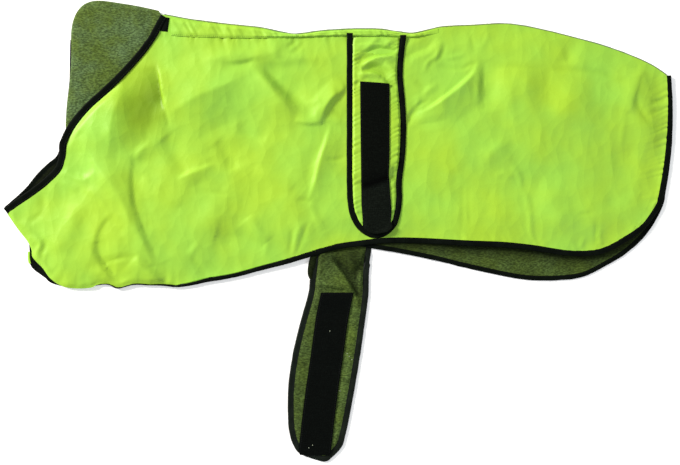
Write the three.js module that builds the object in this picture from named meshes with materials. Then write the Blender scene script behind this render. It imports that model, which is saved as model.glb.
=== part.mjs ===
// A greyhound raincoat, folded along its back seam and laid flat on its side.
// Millimetres. +X runs from the chest to the tail, +Y from the belly to the back, +Z up.
// The coat lies on Z = 0. Its far half is below, its near half on top of it, and the
// tall collar is turned down over both halves, so that the mesh lining shows there.
// Each cloth is a wall laid on the one below it, and edge tape butts against its cloth.
import * as THREE from "three";

// ---- Driving sizes -------------------------------------------------------------------
const CLOTH = 1; // wall of every cloth
const SEAM_GAP = 0.3; // between pieces that are sewn together
const LAYER_GAP = 0.5; // between the two halves, which only lie on each other
const BINDING_WIDTH = 8; // folded edge tape on the hems
const COLLAR_BINDING_WIDTH = 8.5;
const STRAP_BINDING_WIDTH = 7;
const FAR_BINDING_WIDTH = 7;
const BINDING_THICK = 2.2;
const STRAP_BINDING_THICK = 1.9;
const TAPE_THICK = 1.2; // hook tape and loop tape
const SOFT_CORNER = 0.25; // softened edge of every tape
const SPINE_ROLL_WIDTH = 1.9; // rolled edge of the back seam
const COLLAR_ROLL_WIDTH = 3; // where the collar cloth turns over
const CHEST_ROLL_RISE = 2.7; // the chest hem puffs up over its own edge tape

// ---- Colours -------------------------------------------------------------------------
const finish = (color, roughness) =>
  new THREE.MeshStandardMaterial({ color, roughness, metalness: 0 });
const NYLON = finish(0xace04a, 0.55);
const MESH_LINING = finish(0x576d37, 0.9);
const EDGE_TAPE = finish(0x15191a, 0.7);
const HOOK_TAPE = finish(0x0d110d, 0.8);
const LOOP_TAPE = finish(0x0b0e0b, 0.95);
const SEAM_OLIVE = finish(0x72874c, 0.8);

// ---- The cut of each half ------------------------------------------------------------
// One row for each cross-section of the near half, from the throat to the tail:
// where it meets the neck, collar or back seam, where it meets the hem, and how far
// the section bows towards the tail between the two.
const NEAR_SECTIONS = [
  // backX, backY, hemX, hemY, bow
  [-496, 27, -494.5, 23, 0], // point of the throat
  [-478, 40, -478, 0, 0],
  [-462, 51, -460, -20, 0],
  [-444, 64, -454, -42, 0],
  [-428, 78, -441, -62, 0],
  [-415, 93, -417, -81, 0],
  [-409, 114, -387, -86, 0],
  [-405, 140, -357, -81, 0], // here the collar begins
  [-405, 182, -324, -81, 0],
  [-399, 234, -291, -77, 0],
  [-397, 290, -261, -79, 0],
  [-387, 328, -231, -78, 0], // front corner of the collar
  [-345, 340, -198, -70, 0],
  [-290, 330, -159, -63, 0],
  [-230, 318, -117, -52, 0], // nape, behind the collar
  [-170, 310, -78, -42, 0],
  [-114, 304, -39, -30, 0],
  [-69, 295, -3, -20, 0],
  [-30, 299, 30, -15, 0],
  [12, 302, 63, -11, 0],
  [63, 302, 96, -10, 0],
  [111, 296, 132, -11, 0],
  [153, 305, 168, -13, 0],
  [204, 308, 210, -15, 0],
  [255, 310, 252, -17, 0],
  [303, 302, 297, -22, 0],
  [348, 291, 345, -29, 0],
  [396, 278, 390, -27, 0],
  [438, 263, 426, -10, 1],
  [471, 248, 457, 12, 4],
  [493, 233, 478, 42, 7], // tail edge
];
const FIRST_COLLAR_ROW = 7;
const FIRST_ROLLED_ROW = 4;
const FIRST_HEM_TAPE_ROW = 11; // in front of this row the hem is rolled under
const NAPE_ROW = 14;

// The far half has slid a little: its hem shows below the near one towards the tail.
const FAR_SECTIONS = [
  // backX, backY, hemX, hemY, bow
  [-496, 31, -495, 26, 0],
  [-477, 47, -477, 0, 0],
  [-460, 64, -461, -18, 0],
  [-447, 80, -455, -37, 0],
  [-432, 95, -447, -54, 0],
  [-417, 108, -429, -72, 0],
  [-401, 140, -394, -78, 0],
  [-404, 182, -350, -73, 0],
  [-398, 256, -304, -69, 0],
  [-387, 328, -260, -69, 0],
  [-345, 340, -214, -62, 0],
  [-282, 328, -165, -53, 0],
  [-230, 317, -114, -40, 0],
  [-170, 309, -69, -25, 0],
  [-114, 303, -24, -13, 0],
  [-69, 294, 21, -13, 0],
  [-12, 299, 57, -20, 0],
  [56, 301, 93, -26, 0],
  [111, 295, 147, -37, 0],
  [153, 304, 192, -48, 0],
  [204, 307.5, 237, -58, 0],
  [255, 310, 282, -66, 0],
  [303, 302, 327, -67, 0],
  [348, 291, 366, -62, 0],
  [396, 278, 399, -46, 0],
  [438, 263, 430, -27, 1],
  [471, 248, 460, 2, 4],
  [493, 233, 481, 39, 8],
];
const FAR_FIRST_COLLAR_ROW = 6;
const FAR_FIRST_HEM_TAPE_ROW = 2;

// Outer line of the turned-down collar, from the throat round its front corner to the nape.
const COLLAR_FOLD = [
  // x, y
  [-409.5, 156],
  [-409, 176],
  [-407, 200],
  [-404, 225],
  [-402, 255],
  [-401, 285],
  [-399, 308],
  [-394, 324],
  [-385, 337],
  [-372, 344],
  [-356, 345.5],
  [-330, 342],
  [-300, 337],
  [-269, 330],
];
const COLLAR_TIP = [-404.5, 157.5];
// Middle of the edge tape on the collar's free edge, from the throat up to the nape.
const COLLAR_FREE_EDGE = [
  // x, y
  [-413, 129],
  [-406, 146],
  [-394, 165],
  [-376, 186],
  [-353, 207],
  [-331, 228],
  [-311, 249],
  [-293, 270],
  [-278, 291],
  [-268, 310],
  [-261, 322],
];

// ---- Folds of the near half: soft mounds under the cloth ------------------------------
const FOLDS = [
  // x, y, half length, half width, angle in degrees, height
  [-272, 215, 60, 22, 70, 6], // shoulder
  [-345, 70, 85, 24, 118, 5], // throat to elbow
  [-240, 60, 80, 35, 100, 4],
  [-345, -20, 40, 22, -50, 4], // chest
  [-110, 240, 90, 22, 0, 3], // below the back band
  [-96, 200, 60, 22, -48, 4],
  [-60, 90, 70, 20, 76, 3], // in front of the strap
  [175, 212, 65, 20, 40, 4], // behind the strap
  [190, 120, 40, 32, 60, 5],
  [318, 170, 80, 60, 20, 4], // loin
  [425, 96, 90, 22, 62, 4], // along the tail edge
];

// ---- The girth strap ------------------------------------------------------------------
// Middle of the edge tape round the strap's near end, which is sewn on the near half.
const NEAR_STRAP_EDGE = [
  // x, y
  [17, 296],
  [17, 289],
  [17, 282],
  [17, 220],
  [17, 150],
  [17, 80],
  [18, 46],
  [22, 24],
  [32, 6],
  [45, -4],
  [58, -7],
  [71, -3],
  [82, 7],
  [89, 24],
  [92, 50],
  [92, 76],
  [97, 120],
  [98, 170],
  [95, 208],
  [93, 240],
  [97, 281],
  [98, 287],
  [98, 293],
];
const HOOK_TAPE_OUTLINE = [
  // x, y
  [33, 223],
  [34, 120],
  [35, 40],
  [37, 16],
  [46, 3],
  [57, -2.5],
  [69, 1],
  [79, 14],
  [80, 30],
  [76, 84],
  [77, 120],
  [77, 220],
];
// The other end: it comes from the back seam under the far half, and lies free below
// the hem. One row for each cross-section of it.
const BELLY_STRAP_SECTIONS = [
  // y, frontX, rearX
  [-30, -37, 50],
  [-48, -39, 48],
  [-70, -42, 46.5],
  [-95, -45, 46],
  [-142, -58, 40],
  [-190, -69, 33],
  [-238, -75, 25],
  [-286, -75, 16],
  [-308, -72, 11],
  [-322, -67, 7],
  [-334, -58, -2],
  [-341, -42, -10],
  [-346, -26, -17],
];
const STRAP_AT_SPINE = [292, 13, 101]; // y, frontX, rearX
const BELLY_LINING_TOP = -32; // just clear of the far hem
const BELLY_BINDING_WIDTH = 8.5;
const LOOP_TAPE_SECTIONS = [
  // y, middleX
  [-92, -1],
  [-131, -9],
  [-190, -17],
  [-238, -24],
  [-286, -30],
  [-331, -35],
];
const LOOP_TAPE_WIDTH = 49;

// The narrow band that is sewn along the back seam, half of which folds over to the far half.
const BACK_BAND_SECTIONS = [
  // x, upperY, lowerY
  [-250, 319.5, 293],
  [-225, 315, 291],
  [-197, 312, 290],
  [-162, 308, 289],
  [-128, 304.5, 289],
  [-95, 299, 289.5],
  [-58, 294.5, 290],
  [-30, 298, 291],
  [9, 300.5, 292],
  [60, 301, 292],
  [85, 299, 291],
  [111, 295, 290],
  [132, 299, 293],
  [150, 303, 297],
];

// ---- Small tools ----------------------------------------------------------------------
function smoothstep(from, to, value) {
  const t = Math.min(Math.max((value - from) / (to - from), 0), 1);
  return t * t * (3 - 2 * t);
}

// Rows of numbers joined by a Catmull-Rom curve, each span cut into `cuts` steps.
function refine(rows, cuts) {
  const last = rows.length - 1;
  const row = (i) => rows[Math.min(Math.max(i, 0), last)];
  const out = [];
  for (let i = 0; i < last; i++)
    for (let k = 0; k < cuts; k++) {
      const t = k / cuts;
      out.push(
        row(i).map((b, column) => {
          const [a, c, d] = [i - 1, i + 1, i + 2].map((j) => row(j)[column]);
          const slope = (c - a) * t;
          const bend = (2 * a - 5 * b + 4 * c - d) * t * t;
          const twist = (3 * b - a - 3 * c + d) * t * t * t;
          return b + 0.5 * (slope + bend + twist);
        }),
      );
    }
  out.push(rows[last]);
  return out;
}

// A line moved sideways, to its left for a positive distance.
function offset(path, distance) {
  return path.map(([x, y], i) => {
    const [ax, ay] = path[Math.max(i - 1, 0)];
    const [bx, by] = path[Math.min(i + 1, path.length - 1)];
    const length = Math.hypot(bx - ax, by - ay);
    return [x - ((by - ay) / length) * distance, y + ((bx - ax) / length) * distance];
  });
}

function meshOf(name, geometry, material) {
  const mesh = new THREE.Mesh(geometry, material);
  mesh.name = name;
  return mesh;
}

function geometryOf(points, faces) {
  const geometry = new THREE.BufferGeometry();
  geometry.setAttribute(
    "position",
    new THREE.Float32BufferAttribute(points.flat(), 3),
  );
  geometry.setIndex(faces.flat());
  geometry.computeVertexNormals();
  return geometry;
}

// A wall over a grid of [x, y, underside, top]: rows run along +X, columns towards +Y.
function sheet(grid) {
  const rows = grid.length;
  const columns = grid[0].length;
  const all = grid.flat();
  const points = [
    ...all.map(([x, y, low]) => [x, y, low]),
    ...all.map(([x, y, , high]) => [x, y, high]),
  ];
  const low = (i, j) => i * columns + j;
  const high = (i, j) => all.length + low(i, j);
  const faces = [];
  const quad = (a, b, c, d) => faces.push([a, b, c], [a, c, d]);
  for (let i = 0; i < rows - 1; i++)
    for (let j = 0; j < columns - 1; j++) {
      quad(high(i, j), high(i + 1, j), high(i + 1, j + 1), high(i, j + 1));
      quad(low(i, j), low(i, j + 1), low(i + 1, j + 1), low(i + 1, j));
    }
  for (let i = 0; i < rows - 1; i++) {
    const far = columns - 1;
    quad(low(i, 0), low(i + 1, 0), high(i + 1, 0), high(i, 0));
    quad(low(i + 1, far), low(i, far), high(i, far), high(i + 1, far));
  }
  for (let j = 0; j < columns - 1; j++) {
    const end = rows - 1;
    quad(low(0, j + 1), low(0, j), high(0, j), high(0, j + 1));
    quad(low(end, j), low(end, j + 1), high(end, j + 1), high(end, j));
  }
  return geometryOf(points, faces);
}

// A flat plate of an outline.
function plate(outline, low, high) {
  const shape = new THREE.Shape(outline.map(([x, y]) => new THREE.Vector2(x, y)));
  const geometry = new THREE.ExtrudeGeometry(shape, {
    depth: high - low,
    bevelEnabled: false,
  });
  return geometry.translate(0, 0, low);
}

// A tape with softened corners along a line; spanAt(x, y, i) gives its [underside, top].
function tape(path, width, spanAt) {
  const side = width / 2;
  const profile = [
    [-side, 0, SOFT_CORNER],
    [-side + SOFT_CORNER, 0, 0],
    [side - SOFT_CORNER, 0, 0],
    [side, 0, SOFT_CORNER],
    [side, 1, -SOFT_CORNER],
    [side - SOFT_CORNER, 1, 0],
    [-side + SOFT_CORNER, 1, 0],
    [-side, 1, -SOFT_CORNER],
  ];
  const corners = profile.length;
  const lines = profile.map(([across]) => offset(path, -across));
  const points = path.flatMap(([x, y], i) => {
    const span = spanAt(x, y, i);
    return profile.map(([, edge, up], k) => [...lines[k][i], span[edge] + up]);
  });
  const faces = [];
  for (let i = 0; i < path.length - 1; i++)
    for (let k = 0; k < corners; k++) {
      const a = i * corners + k;
      const b = i * corners + ((k + 1) % corners);
      faces.push([a, a + corners, b + corners], [a, b + corners, b]);
    }
  const end = (path.length - 1) * corners;
  for (let k = 1; k < corners - 1; k++)
    faces.push([0, k, k + 1], [end, end + k + 1, end + k]);
  return geometryOf(points, faces);
}

// ---- Heights --------------------------------------------------------------------------
const NEAR_CUTS = 2; // steps between two rows of the near half's table
const FAR_CUTS = 1;
const NEAR_ACROSS = [0, 0.05, 0.12, 0.22, 0.34, 0.47, 0.6, 0.72, 0.83, 0.91, 1];
const FAR_ACROSS = [0, 0.15, 0.32, 0.5, 0.68, 0.85, 1];
const TAIL_EDGE_ACROSS = [0.1, 0.22, 0.36, 0.5, 0.64, 0.78, 0.9, 1];
const UNDERLAY = CLOTH + SEAM_GAP;
const FAR_LINING = CLOTH + SEAM_GAP;
const FAR_HALF = FAR_LINING + CLOTH; // both cloths of the far half
const NEAR_CLOTH = FAR_HALF + LAYER_GAP;
const ON_NEAR = NEAR_CLOTH + CLOTH + SEAM_GAP; // what is sewn on the near half

// How far the far half is lifted by its own turned-down collar and by the strap under it.
function lift(x, y) {
  const behindCollar = (x + 412) * 0.79 - (y - 128) * 0.613;
  const collar = (1 - smoothstep(40, 150, behindCollar)) * smoothstep(0, 110, y);
  const strapFront = (y - 292) * 0.15;
  const strapRear = 112;
  const strap =
    smoothstep(strapFront - 95, strapFront - 15, x) *
    (1 - smoothstep(strapRear + 15, strapRear + 95, x));
  return UNDERLAY * (collar + strap - collar * strap);
}

// The soft mounds, calm under what is sewn flat on the cloth and along its edges.
function foldRise(x, y, across) {
  const behindCollar = (x + 412) * 0.79 - (y - 128) * 0.613;
  const collarCalm = smoothstep(30, 75, behindCollar);
  const strapCalm = 1 - smoothstep(-35, 0, x) * (1 - smoothstep(112, 145, x));
  const hemCalm = smoothstep(0, 0.15, across);
  const backCalm = smoothstep(0.08, 0.22, 1 - across);
  const mounds = FOLDS.map(([cx, cy, long, wide, degrees, height]) => {
    const turn = THREE.MathUtils.degToRad(degrees);
    const along = (x - cx) * Math.cos(turn) + (y - cy) * Math.sin(turn);
    const aside = (y - cy) * Math.cos(turn) - (x - cx) * Math.sin(turn);
    return height * Math.exp(-((along / long) ** 2) - (aside / wide) ** 2);
  });
  const sum = mounds.reduce((a, b) => a + b, 0);
  return sum * collarCalm * strapCalm * hemCalm * backCalm;
}

// The front of the hem is rolled under, so the cloth stands higher there.
function chestRoll(row, across) {
  const alongHem = smoothstep(0.5, 3, row) * (1 - smoothstep(10, 11.5, row));
  return CHEST_ROLL_RISE * alongHem * (1 - smoothstep(0.2, 0.55, across));
}

// ---- Panels ---------------------------------------------------------------------------
function pointAcross([backX, backY, hemX, hemY, bow], across) {
  const bulge = bow * 4 * across * (1 - across);
  return [hemX + (backX - hemX) * across + bulge, hemY + (backY - hemY) * across];
}

const nearRows = refine(NEAR_SECTIONS, NEAR_CUTS);
const farRows = refine(FAR_SECTIONS, FAR_CUTS);

function nearPanel() {
  return sheet(
    nearRows.map((section, i) =>
      NEAR_ACROSS.map((across) => {
        const [x, y] = pointAcross(section, across);
        const rise = foldRise(x, y, across) + chestRoll(i / NEAR_CUTS, across);
        const low = NEAR_CLOTH + lift(x, y) + rise;
        return [x, y, low, low + CLOTH];
      }),
    ),
  );
}

function farPanel(height) {
  return sheet(
    farRows.map((section) =>
      FAR_ACROSS.map((across) => {
        const [x, y] = pointAcross(section, across);
        const low = lift(x, y) + height;
        return [x, y, low, low + CLOTH];
      }),
    ),
  );
}

const edgeLine = (rows, across) => rows.map((section) => pointAcross(section, across));

// Edge tape along the hem and up the tail edge, butted against the cloth.
function hemBinding(rows, width, height) {
  const tail = TAIL_EDGE_ACROSS.map((across) => pointAcross(rows.at(-1), across));
  const edge = [...edgeLine(rows, 0), ...tail];
  const middle = offset(edge, -(SEAM_GAP + width / 2));
  return tape(middle, width, (x, y) => {
    const low = height + lift(x, y);
    return [low, low + BINDING_THICK];
  });
}

// The same tape where the chest hem is rolled under the cloth.
function chestBinding() {
  const rolledUnder = 6;
  const last = (FIRST_HEM_TAPE_ROW - 1) * NEAR_CUTS;
  const edge = edgeLine(nearRows.slice(FIRST_ROLLED_ROW * NEAR_CUTS, last), 0);
  const top = NEAR_CLOTH + BINDING_THICK;
  return tape(offset(edge, rolledUnder), BINDING_WIDTH, () => [NEAR_CLOTH, top]);
}

// Edge tape from the throat's point up to the collar, and on along its free edge.
function neckBinding(throatRows, width, besideThroat, alongCollar) {
  const throat = offset(edgeLine(throatRows, 1), SEAM_GAP + width / 2).slice(0, -1);
  return tape([...throat, ...refine(COLLAR_FREE_EDGE, 2)], width, (x, y, i) => {
    const span = i < throat.length ? besideThroat : alongCollar;
    return span.map((z) => z + lift(x, y));
  });
}

// ---- Collar ---------------------------------------------------------------------------
// The collar lies flat up to the roll where its cloth turns over towards the other face.
function collar(clothSpan, rollSpan) {
  const stations = 24;
  const step = 0.1; // how steeply the roll begins
  const spaced = (path) =>
    new THREE.SplineCurve(path.map(([x, y]) => new THREE.Vector2(x, y))).getSpacedPoints(
      stations,
    );
  const free = offset(COLLAR_FREE_EDGE, SEAM_GAP + COLLAR_BINDING_WIDTH / 2);
  const foldLine = spaced(COLLAR_FOLD);
  const freeLine = spaced([COLLAR_TIP, ...free.slice(2)]);
  return sheet(
    freeLine.map((start, i) => {
      const width = start.distanceTo(foldLine[i]);
      const rollStart = 1 - Math.min(COLLAR_ROLL_WIDTH / width, 0.5);
      const columns = [
        [0, clothSpan],
        [rollStart - step / width, clothSpan],
        [rollStart, rollSpan],
        [1, rollSpan],
      ];
      return columns.map(([across, span]) => {
        const { x, y } = start.clone().lerp(foldLine[i], across);
        return [x, y, ...span];
      });
    }),
  );
}

// ---- Back seam and band ---------------------------------------------------------------
function spineRoll() {
  const firstBehindCollar = (NAPE_ROW - 0.5) * NEAR_CUTS;
  const edge = edgeLine(nearRows.slice(firstBehindCollar), 1);
  const middle = offset(edge, SEAM_GAP + SPINE_ROLL_WIDTH / 2);
  return tape(middle, SPINE_ROLL_WIDTH, (x, y) => [0, NEAR_CLOTH + CLOTH + lift(x, y)]);
}

function backBand() {
  return sheet(
    refine(BACK_BAND_SECTIONS, 2).map(([x, upper, lower]) =>
      [lower, upper].map((y) => {
        const low = ON_NEAR + lift(x, y);
        return [x, y, low, low + CLOTH];
      }),
    ),
  );
}

// Black tape end that finishes the band at the nape.
function bandEnd() {
  const low = ON_NEAR + UNDERLAY;
  const outline = [
    [-262, 300],
    [-251, 300],
    [-251, 319],
    [-256, 319],
  ];
  return plate(outline, low, low + CLOTH);
}

// ---- Girth strap ----------------------------------------------------------------------
const strapInner = offset(NEAR_STRAP_EDGE, SEAM_GAP + STRAP_BINDING_WIDTH / 2);
const ON_STRAP = ON_NEAR + UNDERLAY + CLOTH + SEAM_GAP;

function nearStrapCloth() {
  const belowBand = 289;
  const sides = strapInner.filter(([, y]) => y < belowBand - 5);
  const outline = [...sides, [sides.at(-1)[0], belowBand], [sides[0][0], belowBand]];
  const low = ON_NEAR + UNDERLAY;
  return plate(outline, low, low + CLOTH);
}

function nearStrapBinding() {
  const bandEdge = 285; // above this the tape lies over the back band
  return tape(NEAR_STRAP_EDGE, STRAP_BINDING_WIDTH, (x, y) => {
    const low = ON_NEAR + UNDERLAY + (y > bandEdge ? CLOTH + SEAM_GAP : 0);
    return [low, low + STRAP_BINDING_THICK];
  });
}

// The strap's outer line, down its front side, round the tip and up its rear side.
function bellyStrapLine(sections) {
  const front = sections.map(([y, frontX]) => [frontX, y]);
  const rear = sections.map(([y, , rearX]) => [rearX, y]);
  return [...front, ...rear.toReversed()];
}

const wholeStrap = [STRAP_AT_SPINE, ...BELLY_STRAP_SECTIONS];
const strapInset = BELLY_BINDING_WIDTH + 2 * SEAM_GAP; // eased round the tip

function bellyStrapShell() {
  return plate(offset(bellyStrapLine(wholeStrap), strapInset), 0, CLOTH);
}

function bellyStrapLining() {
  const inner = offset(bellyStrapLine(BELLY_STRAP_SECTIONS), strapInset);
  const free = inner.filter(([, y]) => y < BELLY_LINING_TOP);
  const outline = [
    [free[0][0] + 1, BELLY_LINING_TOP],
    ...free,
    [free.at(-1)[0], BELLY_LINING_TOP],
  ];
  return plate(outline, UNDERLAY, UNDERLAY + CLOTH);
}

function bellyStrapBinding() {
  const middle = offset(bellyStrapLine(wholeStrap), BELLY_BINDING_WIDTH / 2);
  return tape(middle, BELLY_BINDING_WIDTH, (x, y) => [
    0,
    y < BELLY_LINING_TOP ? UNDERLAY + CLOTH : CLOTH,
  ]);
}

function loopTape() {
  const half = LOOP_TAPE_WIDTH / 2;
  const front = LOOP_TAPE_SECTIONS.map(([y, x]) => [x - half, y]);
  const rear = LOOP_TAPE_SECTIONS.map(([y, x]) => [x + half, y]);
  const low = UNDERLAY + CLOTH + SEAM_GAP;
  return plate([...front, ...rear.toReversed()], low, low + TAPE_THICK);
}

// ---- The coat -------------------------------------------------------------------------
const collarTop = ON_NEAR + UNDERLAY + CLOTH;
const nearThroat = [NEAR_CLOTH, NEAR_CLOTH + BINDING_THICK];
const onNearHalf = [ON_NEAR, ON_NEAR + BINDING_THICK];
const underFarHalf = [-UNDERLAY, CLOTH - UNDERLAY];

const coat = new THREE.Group();
coat.name = "dog_raincoat";
coat.add(
  meshOf("near_shell", nearPanel(), NYLON),
  meshOf("far_shell", farPanel(0), NYLON),
  meshOf("far_lining", farPanel(FAR_LINING), MESH_LINING),
  meshOf(
    "near_collar",
    collar([collarTop - CLOTH, collarTop], [UNDERLAY + NEAR_CLOTH, collarTop]),
    MESH_LINING,
  ),
  meshOf("far_collar", collar([0, CLOTH], [0, UNDERLAY + FAR_HALF]), MESH_LINING),
  meshOf(
    "near_neck_binding",
    neckBinding(
      nearRows.slice(0, FIRST_COLLAR_ROW * NEAR_CUTS),
      COLLAR_BINDING_WIDTH,
      nearThroat,
      onNearHalf,
    ),
    EDGE_TAPE,
  ),
  meshOf(
    "far_neck_binding",
    neckBinding(
      farRows.slice(0, (FAR_FIRST_COLLAR_ROW + 1) * FAR_CUTS),
      FAR_BINDING_WIDTH,
      [0, BINDING_THICK],
      underFarHalf,
    ),
    EDGE_TAPE,
  ),
  meshOf(
    "near_hem_binding",
    hemBinding(
      nearRows.slice(FIRST_HEM_TAPE_ROW * NEAR_CUTS),
      BINDING_WIDTH,
      NEAR_CLOTH,
    ),
    EDGE_TAPE,
  ),
  meshOf(
    "far_hem_binding",
    hemBinding(farRows.slice(FAR_FIRST_HEM_TAPE_ROW * FAR_CUTS), FAR_BINDING_WIDTH, 0),
    EDGE_TAPE,
  ),
  meshOf("chest_binding", chestBinding(), EDGE_TAPE),
  meshOf("spine_roll", spineRoll(), SEAM_OLIVE),
  meshOf("back_band", backBand(), NYLON),
  meshOf("band_end", bandEnd(), EDGE_TAPE),
  meshOf("near_strap_cloth", nearStrapCloth(), NYLON),
  meshOf("near_strap_binding", nearStrapBinding(), EDGE_TAPE),
  meshOf(
    "hook_tape",
    plate(HOOK_TAPE_OUTLINE, ON_STRAP, ON_STRAP + TAPE_THICK),
    HOOK_TAPE,
  ),
  meshOf("belly_strap_shell", bellyStrapShell(), NYLON),
  meshOf("belly_strap_lining", bellyStrapLining(), MESH_LINING),
  meshOf("belly_strap_binding", bellyStrapBinding(), EDGE_TAPE),
  meshOf("loop_tape", loopTape(), LOOP_TAPE),
);

export default coat;
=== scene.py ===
"""A sighthound raincoat folded along its back seam and laid flat on its side.

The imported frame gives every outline. This add-on lays the real cloth, edge tape, stitching
and hook-and-loop tape on it. Shapes are worked out in millimetres and placed in metres.
"""
import math

import bmesh
import bpy
import numpy as np
from bpy.props import FloatProperty, FloatVectorProperty, PointerProperty
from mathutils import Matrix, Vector
from mathutils.bvhtree import BVHTree


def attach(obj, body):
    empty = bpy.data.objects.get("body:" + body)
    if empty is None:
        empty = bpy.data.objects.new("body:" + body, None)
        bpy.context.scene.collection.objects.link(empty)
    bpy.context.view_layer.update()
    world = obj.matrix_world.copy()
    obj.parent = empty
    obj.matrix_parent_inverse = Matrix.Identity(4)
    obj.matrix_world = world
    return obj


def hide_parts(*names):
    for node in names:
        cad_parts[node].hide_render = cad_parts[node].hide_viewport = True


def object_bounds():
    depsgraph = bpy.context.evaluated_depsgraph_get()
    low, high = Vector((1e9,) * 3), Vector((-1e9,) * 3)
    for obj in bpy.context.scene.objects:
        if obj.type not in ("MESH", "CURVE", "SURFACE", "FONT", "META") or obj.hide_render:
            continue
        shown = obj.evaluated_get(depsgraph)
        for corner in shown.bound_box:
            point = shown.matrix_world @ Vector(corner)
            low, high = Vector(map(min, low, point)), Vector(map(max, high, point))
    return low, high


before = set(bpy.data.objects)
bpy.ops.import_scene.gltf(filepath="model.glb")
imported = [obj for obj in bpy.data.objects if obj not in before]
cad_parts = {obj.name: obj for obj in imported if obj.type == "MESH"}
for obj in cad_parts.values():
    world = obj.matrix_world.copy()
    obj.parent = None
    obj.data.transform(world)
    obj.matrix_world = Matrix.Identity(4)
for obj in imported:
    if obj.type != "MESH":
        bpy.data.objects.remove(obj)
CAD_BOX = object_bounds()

bl_info = {
    "name": "Dog Raincoat",
    "version": (1, 0, 0),
    "blender": (4, 5, 0),
    "location": "3D View > Sidebar > Raincoat",
    "description": "Lays the cloth, edge tape and stitching of a folded dog raincoat on its frame",
    "category": "Object",
}

MM = 0.001
SHARPEST_SMOOTH = math.radians(50)  # faces that meet more sharply than this keep a hard edge
HIGHEST = 20.3  # no fold stands higher than this
LOWEST = 0.1  # the underside of what lies on the ground
TAPE_THICK = 2.2

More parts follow.
